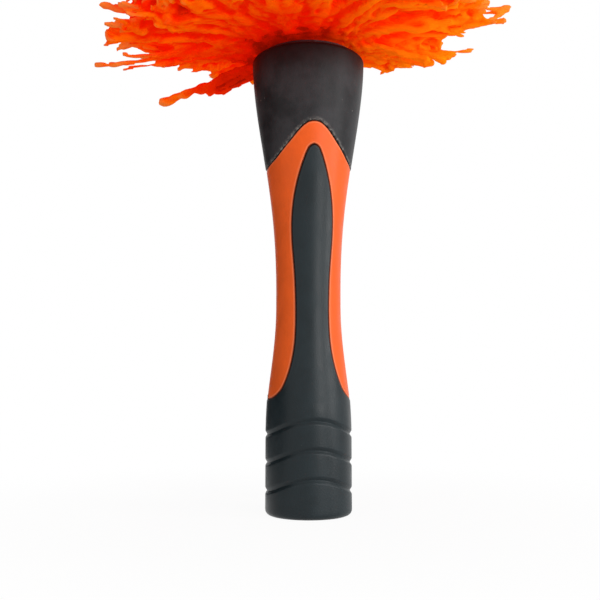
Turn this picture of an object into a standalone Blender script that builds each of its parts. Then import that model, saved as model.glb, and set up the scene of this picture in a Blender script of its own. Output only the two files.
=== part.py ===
"""Microfiber duster: a soft-grip handle with a strand head that unscrews for washing.

Metres, +Z up. The origin is the middle of the handle's flat bottom face. The front of the
handle, where the long palm spine runs, faces -Y, and the back repeats it.
"""

import math

import bmesh
import bpy
from mathutils import Matrix, Vector

# Clearances
FIT_GAP = 0.0003
THREAD_GAP = 0.0004
RUNNING_GAP = 0.0006
CUT_OVERRUN = 0.004

# Handle, outer form
HANDLE_HEIGHT = 0.190
BASE_RADIUS = 0.0177
BASE_TOP_HEIGHT = 0.036
WAIST_RADIUS = 0.01365
WAIST_HEIGHT = 0.086
RIM_RADIUS = 0.0237
RIM_ROUNDING = 0.0018
BASE_ROUNDING = 0.0022
STATION_STEP = 0.0095

# Soft grip over the hard core
GRIP_THICKNESS = 0.0022
PANEL_INSET = 0.0002
CORE_WALL = 0.0024
LIP_THICKNESS = 0.0025
LIP_WIDTH = 0.0032
BASE_LIP_THICKNESS = 0.0024

# Orange panel, as seen from the front
COLLAR_FRONT_HEIGHT = 0.0315
ARCH_RISE = 0.0155
SPINE_TIP_GAP = 0.0095
SPINE_TIP_LENGTH = 0.0335
SPINE_HALF_WIDTH = 0.0084
SPINE_NECK_HALF_WIDTH = 0.00665
PANEL_FOOT_LENGTH = 0.0337
PANEL_BOTTOM_RISE = 0.0103

# Finger grooves round the base
GROOVE_PITCH = 0.01135
GROOVE_LOWEST_HEIGHT = 0.0096
GROOVE_COUNT = 3
GROOVE_RISE = 0.0060
GROOVE_DEPTH = 0.0009
GROOVE_WIDTH = 0.0032

# End cap
END_CAP_LEDGE = 0.0017
END_CAP_FLOOR = 0.0020
END_CAP_SKIRT_LENGTH = 0.0075
END_CAP_SKIRT_WALL = 0.0018

# Screw joint between handle and head
SPIGOT_RADIUS = 0.0090
SPIGOT_LENGTH = 0.0195
PLUG_WALL = 0.0017
THREAD_LEAD = 0.0050
THREAD_TURNS = 2.25
THREAD_DEPTH = 0.0014
THREAD_ROOT_WIDTH = 0.0026
THREAD_CREST_WIDTH = 0.0014
THREAD_START_DROP = 0.0150
SOCKET_LENGTH = 0.0200
SOCKET_WALL = 0.0018
SOCKET_FLANGE_THICKNESS = 0.0030
SOCKET_SEAT_WIDTH = 0.0016
WASHER_THICKNESS = 0.0015
WASHER_RADIUS = 0.0150
PLUG_FLANGE_THICKNESS = 0.0025

# Head core
TUBE_RADIUS = 0.0090
TUBE_WALL = 0.0012
STUB_LENGTH = 0.0170
PIN_RADIUS = 0.00125
PIN_RISE = 0.0085
TOP_PLUG_LENGTH = 0.0120
SCREW_RADIUS = 0.0015
SCREW_LENGTH = 0.0140
SCREW_HEAD_RADIUS = 0.0032
SCREW_HEAD_HEIGHT = 0.0022
SCREW_CROWN_RADIUS = 0.0019
SCREW_CROWN_HEIGHT = 0.0010
SCREW_SLOT_WIDTH = 0.0008
SCREW_SLOT_DEPTH = 0.0009
CLAMP_WASHER_RADIUS = 0.0070
CLAMP_WASHER_THICKNESS = 0.0014

# Strand head
RING_COUNT = 7
RING_PITCH = 0.0200
BACKING_THICKNESS = 0.0042
CROWN_THICKNESS = 0.0055
STRANDS_PER_ROW = 20
ROWS_PER_RING = 2
STRAND_LENGTH = 0.0890
STRAND_LIFT = 0.0040
STRAND_DROOP = 0.0080
LOWEST_STRAND_ANGLE = math.radians(4.0)
HIGHEST_STRAND_ANGLE = math.radians(61.0)
TILT_ANGLE = math.radians(8.0)
TILT_HEADING = math.radians(135.0)
CROWN_STRAND_LENGTH = 0.0740
CROWN_ROW_SPACING = 0.0019
CROWN_ROOT_MARGIN = 0.0013
CROWN_EDGE_MARGIN = 0.0016
CROWN_OUTER_STRANDS = 14
CROWN_OUTER_STRAND_ANGLE = math.radians(75.0)
CROWN_INNER_STRANDS = 7
CROWN_INNER_STRAND_ANGLE = math.radians(93.0)

# Unitless form values
BASE_EASE = 1.15
RIM_EASE = 1.30
ANGLE_EASE = 1.15
STRAND_POINT_SHARES = (0.17, 0.62)
STRAND_WIDTH_SHARES = (0.46, 0.62, 0.72)
STRAND_THICKNESS_SHARES = (0.17, 0.38, 0.80)
CROWN_THICKNESS_SHARES = (0.40, 1.60, 2.60)
CROWN_OUTER_WIDTH_SHARES = (0.18, 0.50, 0.70)
CROWN_INNER_WIDTH_SHARES = (0.11, 0.30, 0.70)
SHORT_ROW_SHARE = 0.88
LENGTH_SPREAD_SHARE = 0.12
GOLDEN_SHARE = 0.618
THREAD_LEAD_IN_TURNS = 0.0833
THREAD_OVERRUN_TURNS = 0.25

# Arch of the orange panel: half widths as shares of the collar's radius, drops as shares of its height
ARCH_SHARES = (
    (0.0, 0.0), (0.16, 0.05), (0.26, 0.15), (0.37, 0.30),
    (0.48, 0.46), (0.60, 0.63), (0.72, 0.79), (0.84, 0.92), (1.0, 1.0),
)
# Spine above its widest place: (share of the half width, share of the way up to the tip)
SPINE_TIP_SHARES = ((0.99, 0.18), (0.92, 0.36), (0.82, 0.51), (0.68, 0.66), (0.49, 0.81), (0.27, 0.93))
# Panel's lower edge: (share of the way out from neck to base radius, share of the way down)
PANEL_FOOT_SHARES = (
    (0.03, 0.22), (0.08, 0.37), (0.18, 0.53), (0.31, 0.69), (0.52, 0.85), (0.70, 0.93), (0.88, 0.98),
)

# Levels that follow from the sizes above
ARCH_TOP_HEIGHT = HANDLE_HEIGHT - COLLAR_FRONT_HEIGHT
ARCH_SIDE_HEIGHT = ARCH_TOP_HEIGHT - ARCH_RISE
SPINE_TIP_HEIGHT = ARCH_TOP_HEIGHT - SPINE_TIP_GAP
SPINE_WIDEST_HEIGHT = SPINE_TIP_HEIGHT - SPINE_TIP_LENGTH
PANEL_BOTTOM_HEIGHT = BASE_TOP_HEIGHT + PANEL_BOTTOM_RISE
SPINE_NECK_HEIGHT = PANEL_BOTTOM_HEIGHT + PANEL_FOOT_LENGTH
MOUTH_RADIUS = RIM_RADIUS - LIP_WIDTH
CORE_BOTTOM = BASE_LIP_THICKNESS + FIT_GAP
CORE_TOP = HANDLE_HEIGHT - LIP_THICKNESS - FIT_GAP
SOCKET_TOP = CORE_TOP
SOCKET_SEAT = SOCKET_TOP - SOCKET_FLANGE_THICKNESS - FIT_GAP
WASHER_BOTTOM = SOCKET_TOP + FIT_GAP
PLUG_FLANGE_BOTTOM = WASHER_BOTTOM + WASHER_THICKNESS + FIT_GAP
PLUG_FLANGE_TOP = PLUG_FLANGE_BOTTOM + PLUG_FLANGE_THICKNESS
STACK_BOTTOM = PLUG_FLANGE_TOP + FIT_GAP
STACK_TOP = STACK_BOTTOM + RING_COUNT * RING_PITCH
TUBE_TOP = STACK_TOP - FIT_GAP
CROWN_TOP = STACK_TOP + CROWN_THICKNESS
SOCKET_BORE_RADIUS = SPIGOT_RADIUS + THREAD_GAP
SOCKET_OUTER_RADIUS = SPIGOT_RADIUS + THREAD_DEPTH + THREAD_GAP + SOCKET_WALL
BACKING_INNER_RADIUS = TUBE_RADIUS + FIT_GAP
BACKING_OUTER_RADIUS = BACKING_INNER_RADIUS + BACKING_THICKNESS
STUB_RADIUS = TUBE_RADIUS - TUBE_WALL - FIT_GAP
PLUG_BORE_RADIUS = STUB_RADIUS - PLUG_WALL
CROWN_INNER_ROOT_RADIUS = CLAMP_WASHER_RADIUS + CROWN_ROOT_MARGIN
CROWN_OUTER_ROOT_RADIUS = CROWN_INNER_ROOT_RADIUS + CROWN_ROW_SPACING
CROWN_RADIUS = CROWN_OUTER_ROOT_RADIUS + CROWN_EDGE_MARGIN

# Facets of the round pieces
HANDLE_FACETS = 32
CORE_FACETS = 24
THREAD_FACETS = 24
HEAD_FACETS = 16
SMALL_FACETS = 12
MERGE_DISTANCE = 0.00001
NORMAL_LIMIT = math.radians(40.0)


def clear_scene():
    for obj in list(bpy.data.objects):
        bpy.data.objects.remove(obj, do_unlink=True)


def new_collection(name):
    collection = bpy.data.collections.new(name)
    bpy.context.scene.collection.children.link(collection)
    return collection


def new_material(name, colour, roughness, metallic=0.0):
    material = bpy.data.materials.new(name)
    material.use_nodes = True
    shader = material.node_tree.nodes["Principled BSDF"]
    shader.inputs["Base Color"].default_value = (*colour, 1.0)
    shader.inputs["Roughness"].default_value = roughness
    shader.inputs["Metallic"].default_value = metallic
    material.diffuse_color = (*colour, 1.0)
    return material


def new_empty(name, height, collection):
    """A bare axis on the handle's centre line at the given height, for pieces to hang from."""
    empty = bpy.data.objects.new(name, None)
    empty.empty_display_type = "SINGLE_ARROW"
    empty.empty_display_size = BASE_RADIUS
    empty.location = (0.0, 0.0, height)
    collection.objects.link(empty)
    return empty


def hang(pieces, empty):
    """Parents the pieces to the empty and leaves them where they are."""
    bpy.context.view_layer.update()
    for piece in pieces:
        piece.parent = empty
        piece.matrix_parent_inverse = empty.matrix_world.inverted()


def object_from_bmesh(name, bm, collection, material=None):
    mesh = bpy.data.meshes.new(name)
    bm.to_mesh(mesh)
    bm.free()
    obj = bpy.data.objects.new(name, mesh)
    collection.objects.link(obj)
    if material:
        mesh.materials.append(material)
    return obj


def baked(obj):
    """Applies the modifiers by taking the evaluated mesh, so that later steps see plain geometry."""
    graph = bpy.context.evaluated_depsgraph_get()
    mesh = bpy.data.meshes.new_from_object(obj.evaluated_get(graph))
    obj.modifiers.clear()
    obj.data = mesh
    return obj


def smooth(obj):
    obj.data.shade_smooth()
    obj.data.set_sharp_from_angle(angle=NORMAL_LIMIT)
    return obj


def as_cutter(obj):
    obj.hide_render = True
    obj.display_type = "WIRE"
    return obj


def turned(name, profile, facets, collection, material=None):
    """A turned solid. Its (radius, height) points run down the outer side, then up any bore."""
    bm = bmesh.new()
    points = [bm.verts.new((radius, 0.0, height)) for radius, height in profile]
    for start, end in zip(points, points[1:]):
        bm.edges.new((start, end))
    if profile[0][0] > 0.0:
        bm.edges.new((points[-1], points[0]))
    obj = object_from_bmesh(name, bm, collection, material)
    screw = obj.modifiers.new("Turn", "SCREW")
    screw.axis = "Z"
    screw.angle = math.tau
    screw.steps = facets
    screw.render_steps = facets
    screw.use_merge_vertices = True
    screw.merge_threshold = MERGE_DISTANCE
    return baked(obj)


def prism(name, outline, depth, collection):
    """A block with the (x, z) outline, running from front to back through the handle."""
    bm = bmesh.new()
    face = bm.faces.new([bm.verts.new((x, -depth, z)) for x, z in outline])
    pushed = bmesh.ops.extrude_face_region(bm, geom=[face])["geom"]
    moved = [v for v in pushed if isinstance(v, bmesh.types.BMVert)]
    bmesh.ops.translate(bm, verts=moved, vec=(0.0, 2.0 * depth, 0.0))
    bmesh.ops.recalc_face_normals(bm, faces=bm.faces)
    return as_cutter(object_from_bmesh(name, bm, collection))


def boolean(obj, other, operation):
    modifier = obj.modifiers.new(operation.title(), "BOOLEAN")
    modifier.operation = operation
    modifier.solver = "EXACT"
    modifier.object = other
    return baked(obj)


def joined(objects):
    """Unites the first object with the others and removes those."""
    first = objects[0]
    for other in objects[1:]:
        boolean(first, other, "UNION")
        bpy.data.objects.remove(other, do_unlink=True)
    return first


def smoothstep(share):
    share = min(max(share, 0.0), 1.0)
    return share * share * (3.0 - 2.0 * share)


def handle_radius(height):
    """Outer radius of the handle: straight base, drawn-in waist, flared rim."""
    if height < WAIST_HEIGHT:
        share = (WAIST_HEIGHT - height) / (WAIST_HEIGHT - BASE_TOP_HEIGHT)
        return WAIST_RADIUS + (BASE_RADIUS - WAIST_RADIUS) * smoothstep(min(share, 1.0) ** BASE_EASE)
    share = (height - WAIST_HEIGHT) / (HANDLE_HEIGHT - WAIST_HEIGHT)
    return WAIST_RADIUS + (RIM_RADIUS - WAIST_RADIUS) * smoothstep(min(share, 1.0) ** RIM_EASE)


def levels(bottom, top):
    """Evenly spaced heights from bottom to top, about STATION_STEP apart."""
    count = max(2, round((top - bottom) / STATION_STEP))
    return [bottom + (top - bottom) * i / count for i in range(count + 1)]


def rounded_corner(radius, height, rounding, upward):
    """Three points that round the edge at (radius, height); upward is 1 at the top and -1 at the bottom."""
    points = []
    for degrees in (0.0, 45.0, 90.0):
        angle = math.radians(degrees)
        points.append((
            radius - rounding * (1.0 - math.cos(angle)),
            height - upward * rounding * (1.0 - math.sin(angle)),
        ))
    return points


def outer_side(bottom, top, inset):
    """The handle's side between two heights, top first, moved in by the inset."""
    return [(handle_radius(height) - inset, height) for height in reversed(levels(bottom, top))]


def arch_outline(offset):
    """The arch from its left end to its right, moved up by the offset, in (x, z)."""
    side = []
    for width, drop in ARCH_SHARES:
        height = ARCH_TOP_HEIGHT - drop * (ARCH_TOP_HEIGHT - ARCH_SIDE_HEIGHT)
        side.append((width * handle_radius(ARCH_SIDE_HEIGHT), height + offset))
    side.append((RIM_RADIUS + CUT_OVERRUN, ARCH_SIDE_HEIGHT + offset))
    return [(-x, z) for x, z in reversed(side[1:])] + side


def spine_outline(offset):
    """Right-hand edge of spine and grip foot, from the tip down and out, grown by the offset."""
    side = [(0.0, SPINE_TIP_HEIGHT)]
    for width, rise in reversed(SPINE_TIP_SHARES):
        side.append((
            width * SPINE_HALF_WIDTH,
            SPINE_WIDEST_HEIGHT + rise * (SPINE_TIP_HEIGHT - SPINE_WIDEST_HEIGHT),
        ))
    for degrees in (0.0, 45.0, 90.0, 135.0, 180.0):
        share = (1.0 - math.cos(math.radians(degrees))) / 2.0
        side.append((
            SPINE_HALF_WIDTH + (SPINE_NECK_HALF_WIDTH - SPINE_HALF_WIDTH) * share,
            SPINE_WIDEST_HEIGHT + (SPINE_NECK_HEIGHT - SPINE_WIDEST_HEIGHT) * degrees / 180.0,
        ))
    foot_radius = handle_radius(PANEL_BOTTOM_HEIGHT)
    for out, down in PANEL_FOOT_SHARES:
        side.append((
            SPINE_NECK_HALF_WIDTH + out * (foot_radius - SPINE_NECK_HALF_WIDTH),
            SPINE_NECK_HEIGHT + down * (PANEL_BOTTOM_HEIGHT - SPINE_NECK_HEIGHT),
        ))
    side.append((foot_radius, PANEL_BOTTOM_HEIGHT))
    side.append((BASE_RADIUS + CUT_OVERRUN, PANEL_BOTTOM_HEIGHT))
    return grown_edge(side, offset)


def grown_edge(side, offset):
    """Moves an edge that runs down and out to its own outer side, square to itself."""
    moved = []
    for i, (x, z) in enumerate(side):
        before = Vector(side[max(i - 1, 0)])
        after = Vector(side[min(i + 1, len(side) - 1)])
        along = (after - before).normalized()
        moved.append((x - along.y * offset, z + along.x * offset))
    moved[0] = (0.0, side[0][1] + offset)
    return moved


def panel_outline():
    """The orange panel: under the arch, beside the spine and above the grip's foot."""
    edge = spine_outline(FIT_GAP)
    return arch_outline(0.0) + list(reversed(edge)) + [(-x, z) for x, z in edge[1:]]


def lower_grip_outline():
    edge = spine_outline(0.0)
    floor = [(edge[-1][0], -CUT_OVERRUN), (-edge[-1][0], -CUT_OVERRUN)]
    return edge + floor + [(-x, z) for x, z in reversed(edge[1:])]


def collar_outline():
    arch = arch_outline(FIT_GAP)
    top = HANDLE_HEIGHT + CUT_OVERRUN
    return arch + [(arch[-1][0], top), (arch[0][0], top)]


def core_bore_radius(height):
    return handle_radius(height) - GRIP_THICKNESS - FIT_GAP - CORE_WALL


def end_cap_radius():
    """Radius of the end cap's disc, a ledge wider than the skirt that fits the core's bore."""
    return core_bore_radius(CORE_BOTTOM) - FIT_GAP + END_CAP_LEDGE


def seat_bore_radius():
    """Radius of the recess in the core's top that the socket's flange lies in."""
    return handle_radius(CORE_TOP) - GRIP_THICKNESS - FIT_GAP - SOCKET_SEAT_WIDTH


def solid_profile(side):
    """Closes a turned side to the axis at its top and bottom."""
    return [(0.0, side[0][1])] + side + [(0.0, side[-1][1])]


def make_handle_core(parts, cutters, orange):
    """The hard orange core: a hollow hourglass with raised panels that lie flush with the grip."""
    recess = GRIP_THICKNESS + FIT_GAP
    side = outer_side(CORE_BOTTOM, CORE_TOP, recess)
    core = turned("handle_core", solid_profile(side), HANDLE_FACETS, parts, orange)
    panel_side = outer_side(PANEL_BOTTOM_HEIGHT - CUT_OVERRUN, ARCH_TOP_HEIGHT + CUT_OVERRUN, PANEL_INSET)
    panel = turned("core_panel", solid_profile(panel_side), HANDLE_FACETS, parts, orange)
    outline = prism("panel_prism", panel_outline(), RIM_RADIUS + CUT_OVERRUN, cutters)
    boolean(panel, outline, "INTERSECT")
    joined([core, panel])
    seat = seat_bore_radius()
    bore = [(seat, CORE_TOP + CUT_OVERRUN), (seat, SOCKET_SEAT)]
    upper = levels(WAIST_HEIGHT, SOCKET_SEAT)[::2]
    lower = levels(CORE_BOTTOM, WAIST_HEIGHT)[::2]
    heights = sorted({*upper, *lower, SOCKET_SEAT, WAIST_HEIGHT}, reverse=True)
    bore += [(core_bore_radius(height), height) for height in heights]
    bore.append((core_bore_radius(CORE_BOTTOM), CORE_BOTTOM - CUT_OVERRUN))
    boolean(core, as_cutter(turned("core_bore", solid_profile(bore), CORE_FACETS, cutters)), "DIFFERENCE")
    return smooth(core)


def make_collar_grip(parts, cutters, charcoal):
    """The charcoal collar: a flared sleeve that turns in over the core's rim."""
    bottom = ARCH_SIDE_HEIGHT - CUT_OVERRUN
    corner = rounded_corner(handle_radius(HANDLE_HEIGHT), HANDLE_HEIGHT, RIM_ROUNDING, 1.0)
    side = outer_side(bottom, HANDLE_HEIGHT - RIM_ROUNDING, 0.0)
    lip_bottom = HANDLE_HEIGHT - LIP_THICKNESS
    inner = [(handle_radius(height) - GRIP_THICKNESS, height) for height in levels(bottom, lip_bottom)]
    profile = list(reversed(corner))[:-1] + side + inner
    profile += [(MOUTH_RADIUS, lip_bottom), (MOUTH_RADIUS, HANDLE_HEIGHT)]
    collar = turned("collar_grip", profile, HANDLE_FACETS, parts, charcoal)
    outline = prism("collar_prism", collar_outline(), RIM_RADIUS + CUT_OVERRUN, cutters)
    return smooth(boolean(collar, outline, "INTERSECT"))


def groove_ring(level, cutters):
    """A diamond-section ring that rises at the front and back, cut out as a finger groove."""
    ring = turned(
        "groove_ring",
        [
            (BASE_RADIUS, level + GROOVE_WIDTH / 2.0),
            (BASE_RADIUS + GROOVE_DEPTH, level + GROOVE_WIDTH),
            (BASE_RADIUS + GROOVE_DEPTH, level - GROOVE_WIDTH),
            (BASE_RADIUS, level - GROOVE_WIDTH / 2.0),
            (BASE_RADIUS - GROOVE_DEPTH, level),
        ],
        HANDLE_FACETS, cutters)
    for vertex in ring.data.vertices:
        angle = math.atan2(vertex.co.x, -vertex.co.y)
        vertex.co.z += GROOVE_RISE * math.cos(angle) ** 2
    return as_cutter(ring)


def make_lower_grip(parts, cutters, charcoal):
    """The charcoal base sleeve with its grooves, and the spines that run up front and back."""
    top = SPINE_TIP_HEIGHT + CUT_OVERRUN
    corner = rounded_corner(BASE_RADIUS, 0.0, BASE_ROUNDING, -1.0)
    side = outer_side(BASE_TOP_HEIGHT, top, 0.0)
    lip_radius = end_cap_radius() + FIT_GAP
    inner = [(handle_radius(height) - GRIP_THICKNESS, height) for height in levels(BASE_TOP_HEIGHT, top)]
    inner.insert(0, (BASE_RADIUS - GRIP_THICKNESS, BASE_LIP_THICKNESS))
    profile = side + corner + [(lip_radius, 0.0), (lip_radius, BASE_LIP_THICKNESS)] + inner
    grip = turned("lower_grip", profile, HANDLE_FACETS, parts, charcoal)
    outline = prism("lower_grip_prism", lower_grip_outline(), RIM_RADIUS + CUT_OVERRUN, cutters)
    boolean(grip, outline, "INTERSECT")
    for i in range(GROOVE_COUNT):
        boolean(grip, groove_ring(GROOVE_LOWEST_HEIGHT + i * GROOVE_PITCH, cutters), "DIFFERENCE")
    return smooth(grip)


def make_end_cap(parts, charcoal):
    """The cap that plugs the core's lower end, flush with the grip's bottom face."""
    skirt_radius = end_cap_radius() - END_CAP_LEDGE
    skirt_top = BASE_LIP_THICKNESS + END_CAP_SKIRT_LENGTH
    profile = [
        (skirt_radius, skirt_top), (skirt_radius, BASE_LIP_THICKNESS),
        (end_cap_radius(), BASE_LIP_THICKNESS), (end_cap_radius(), 0.0), (0.0, 0.0),
    ]
    hollow_radius = skirt_radius - END_CAP_SKIRT_WALL
    cap = [(0.0, END_CAP_FLOOR), (hollow_radius, END_CAP_FLOOR), (hollow_radius, skirt_top)] + profile
    return smooth(turned("end_cap", cap, CORE_FACETS, parts, charcoal))


def thread_helix(name, grow, first_turn, last_turn, collection):
    """A helical ridge with a trapezoid section, grown on its sides and crest by the given gap."""
    inner = SPIGOT_RADIUS - THREAD_DEPTH
    outer = SPIGOT_RADIUS + THREAD_DEPTH + grow
    root = THREAD_ROOT_WIDTH / 2.0 + grow
    crest = THREAD_CREST_WIDTH / 2.0 + grow
    buried = 2.0 * root - crest
    bm = bmesh.new()
    section = [(inner, -buried), (outer, -crest), (outer, crest), (inner, buried)]
    start_height = PLUG_FLANGE_BOTTOM - THREAD_START_DROP + THREAD_LEAD * first_turn
    face = bm.faces.new([bm.verts.new((radius, 0.0, start_height + offset)) for radius, offset in section])
    bmesh.ops.rotate(
        bm, verts=bm.verts, cent=(0.0, 0.0, 0.0),
        matrix=Matrix.Rotation(math.tau * first_turn, 3, "Z"))
    steps = round(THREAD_FACETS * (last_turn - first_turn))
    bmesh.ops.spin(
        bm, geom=[face], cent=(0.0, 0.0, 0.0), axis=(0.0, 0.0, 1.0),
        dvec=(0.0, 0.0, THREAD_LEAD / THREAD_FACETS), angle=math.tau * steps / THREAD_FACETS, steps=steps)
    bmesh.ops.recalc_face_normals(bm, faces=bm.faces)
    return object_from_bmesh(name, bm, collection)


def make_threaded_socket(parts, cutters, black):
    """The socket in the collar: a flanged tube with the thread that the head screws into."""
    bottom = SOCKET_TOP - SOCKET_LENGTH
    flange_radius = seat_bore_radius() - FIT_GAP
    flange_bottom = SOCKET_TOP - SOCKET_FLANGE_THICKNESS
    profile = [
        (flange_radius, SOCKET_TOP), (flange_radius, flange_bottom),
        (SOCKET_OUTER_RADIUS, flange_bottom), (SOCKET_OUTER_RADIUS, bottom),
        (SOCKET_BORE_RADIUS, bottom), (SOCKET_BORE_RADIUS, SOCKET_TOP),
    ]
    socket = turned("threaded_socket", profile, THREAD_FACETS, parts, black)
    last_turn = (THREAD_START_DROP + THREAD_ROOT_WIDTH) / THREAD_LEAD + THREAD_OVERRUN_TURNS
    groove = thread_helix("socket_groove", THREAD_GAP, -THREAD_LEAD_IN_TURNS, last_turn, cutters)
    return smooth(boolean(socket, as_cutter(groove), "DIFFERENCE"))


def make_thrust_washer(parts, rubber):
    """The soft ring that the plug's flange tightens on."""
    inner = SPIGOT_RADIUS + RUNNING_GAP
    top = WASHER_BOTTOM + WASHER_THICKNESS
    profile = [(WASHER_RADIUS, top), (WASHER_RADIUS, WASHER_BOTTOM), (inner, WASHER_BOTTOM), (inner, top)]
    return smooth(turned("thrust_washer", profile, CORE_FACETS, parts, rubber))


def cross_hole(name, radius, level, cutters):
    """A level rod across the head's axis, as a cutter for the pin's hole."""
    bm = bmesh.new()
    bmesh.ops.create_cone(
        bm, cap_ends=True, segments=SMALL_FACETS, radius1=radius, radius2=radius,
        depth=2.0 * (TUBE_RADIUS + CUT_OVERRUN))
    obj = as_cutter(object_from_bmesh(name, bm, cutters))
    obj.rotation_euler = (0.0, math.radians(90.0), 0.0)
    obj.location = (0.0, 0.0, level)
    bpy.context.view_layer.update()
    return obj


def pin_level():
    return PLUG_FLANGE_TOP + PIN_RISE


def make_head_plug(parts, cutters, black):
    """The threaded plug: screw spigot below, mouth-covering flange, stub for the tube above."""
    flange_radius = MOUTH_RADIUS - RUNNING_GAP
    bottom = PLUG_FLANGE_BOTTOM - SPIGOT_LENGTH
    profile = [
        (STUB_RADIUS, PLUG_FLANGE_TOP + STUB_LENGTH), (STUB_RADIUS, PLUG_FLANGE_TOP),
        (flange_radius, PLUG_FLANGE_TOP), (flange_radius, PLUG_FLANGE_BOTTOM),
        (SPIGOT_RADIUS, PLUG_FLANGE_BOTTOM), (SPIGOT_RADIUS, bottom),
        (PLUG_BORE_RADIUS, bottom), (PLUG_BORE_RADIUS, PLUG_FLANGE_TOP + STUB_LENGTH),
    ]
    plug = turned("head_plug", profile, THREAD_FACETS, parts, black)
    ridge = thread_helix("plug_thread", 0.0, 0.0, THREAD_TURNS, parts)
    joined([plug, ridge])
    hole = cross_hole("plug_pin_hole", PIN_RADIUS + FIT_GAP, pin_level(), cutters)
    return smooth(boolean(plug, hole, "DIFFERENCE"))


def make_core_tube(parts, cutters, aluminium):
    """The tube that carries the strand rings."""
    inner = TUBE_RADIUS - TUBE_WALL
    outside = [(TUBE_RADIUS, TUBE_TOP), (TUBE_RADIUS, STACK_BOTTOM)]
    profile = outside + [(inner, STACK_BOTTOM), (inner, TUBE_TOP)]
    tube = turned("core_tube", profile, THREAD_FACETS, parts, aluminium)
    hole = cross_hole("tube_pin_hole", PIN_RADIUS + FIT_GAP, pin_level(), cutters)
    return smooth(boolean(tube, hole, "DIFFERENCE"))


def make_tube_pin(parts, steel):
    """The cross pin that holds the tube on the plug's stub."""
    bm = bmesh.new()
    bmesh.ops.create_cone(
        bm, cap_ends=True, segments=SMALL_FACETS, radius1=PIN_RADIUS, radius2=PIN_RADIUS,
        depth=2.0 * (TUBE_RADIUS - FIT_GAP))
    pin = object_from_bmesh("tube_pin", bm, parts, steel)
    pin.rotation_euler = (0.0, math.radians(90.0), 0.0)
    pin.location = (0.0, 0.0, pin_level())
    return smooth(pin)


def strand_points(root_radius, root_height, length, angle, heading, sweep):
    """A strand's root, two knees and tip: it leaves the backing with a small lift, then droops."""
    points = []
    for share in (0.0, *STRAND_POINT_SHARES, 1.0):
        radius = root_radius + length * share * math.cos(angle)
        lift = STRAND_LIFT * math.sin(math.pi * share) - STRAND_DROOP * share ** 2
        height = root_height + length * share * math.sin(angle) + lift * abs(math.cos(angle))
        turn = heading + sweep * share
        points.append(Vector((radius * math.sin(turn), -radius * math.cos(turn), height)))
    return points


def add_strand(bm, points, widths, thicknesses):
    """One three-sided strand: a triangle drawn out along the points and closed to a tip."""
    rings = []
    for i, point in enumerate(points[:-1]):
        along = (points[i + 1] - points[max(i - 1, 0)]).normalized()
        sideways = along.cross(Vector((0.0, 0.0, 1.0))).normalized() * widths[i] / 2.0
        above = sideways.cross(along).normalized() * thicknesses[i] / 2.0
        offsets = (above, -above - sideways, sideways - above)
        rings.append([bm.verts.new(point + offset) for offset in offsets])
    edges = [[bm.edges.new((ring[i - 1], ring[i])) for i in range(3)] for ring in rings]
    bmesh.ops.contextual_create(bm, geom=edges[0])
    for near, far in zip(edges, edges[1:]):
        bmesh.ops.bridge_loops(bm, edges=near + far)
    tip = bm.verts.new(points[-1])
    for edge in edges[-1]:
        bmesh.ops.contextual_create(bm, geom=[*edge.verts, tip])


def strand_widths(points, count, shares):
    """Widths that take a share of the room that a row's strands have round the axis at each point."""
    return [math.tau * math.hypot(point.x, point.y) / count * share for point, share in zip(points, shares)]


def strand_thicknesses(step, shares):
    return [step * share for share in shares]


def row_share(row):
    return row / (RING_COUNT * ROWS_PER_RING - 1)


def row_angle(row, heading):
    """How far a strand points up: level over the collar, steep at the top, with the whole skirt tilted."""
    spread = (HIGHEST_STRAND_ANGLE - LOWEST_STRAND_ANGLE) * row_share(row) ** ANGLE_EASE
    tilt = TILT_ANGLE * (1.0 - row_share(row)) * math.cos(heading - TILT_HEADING)
    return LOWEST_STRAND_ANGLE + spread + tilt


def strand_length(row, index):
    """Lengths vary from strand to strand, and the lowest and highest rows are the shortest."""
    fullness = SHORT_ROW_SHARE + (1.0 - SHORT_ROW_SHARE) * math.sin(math.pi * row_share(row))
    trim = LENGTH_SPREAD_SHARE * ((row * STRANDS_PER_ROW + index) * GOLDEN_SHARE % 1.0)
    return STRAND_LENGTH * fullness * (1.0 - trim)


def make_strand_ring(index, parts, fibre):
    """One slice of the backing sleeve with two staggered rows of strands."""
    bottom = STACK_BOTTOM + index * RING_PITCH
    top = bottom + RING_PITCH - FIT_GAP
    profile = [
        (BACKING_OUTER_RADIUS, top), (BACKING_OUTER_RADIUS, bottom),
        (BACKING_INNER_RADIUS, bottom), (BACKING_INNER_RADIUS, top),
    ]
    ring = turned(f"strand_ring_{index + 1}", profile, HEAD_FACETS, parts, fibre)
    row_step = RING_PITCH / ROWS_PER_RING
    thicknesses = strand_thicknesses(row_step, STRAND_THICKNESS_SHARES)
    root_radius = (BACKING_INNER_RADIUS + BACKING_OUTER_RADIUS) / 2.0
    pitch = math.tau / STRANDS_PER_ROW
    bm = bmesh.new()
    for step in range(ROWS_PER_RING):
        row = index * ROWS_PER_RING + step
        height = bottom + row_step * (step + 0.5)
        for i in range(STRANDS_PER_ROW):
            heading = pitch * (i + 0.5 * (row % 2))
            angle = row_angle(row, heading)
            length = strand_length(row, i)
            points = strand_points(root_radius, height, length, angle, heading, pitch / 2.0)
            widths = strand_widths(points, STRANDS_PER_ROW, STRAND_WIDTH_SHARES)
            add_strand(bm, points, widths, thicknesses)
    bmesh.ops.recalc_face_normals(bm, faces=bm.faces)
    return joined([ring, object_from_bmesh("ring_strands", bm, parts)])


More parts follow.
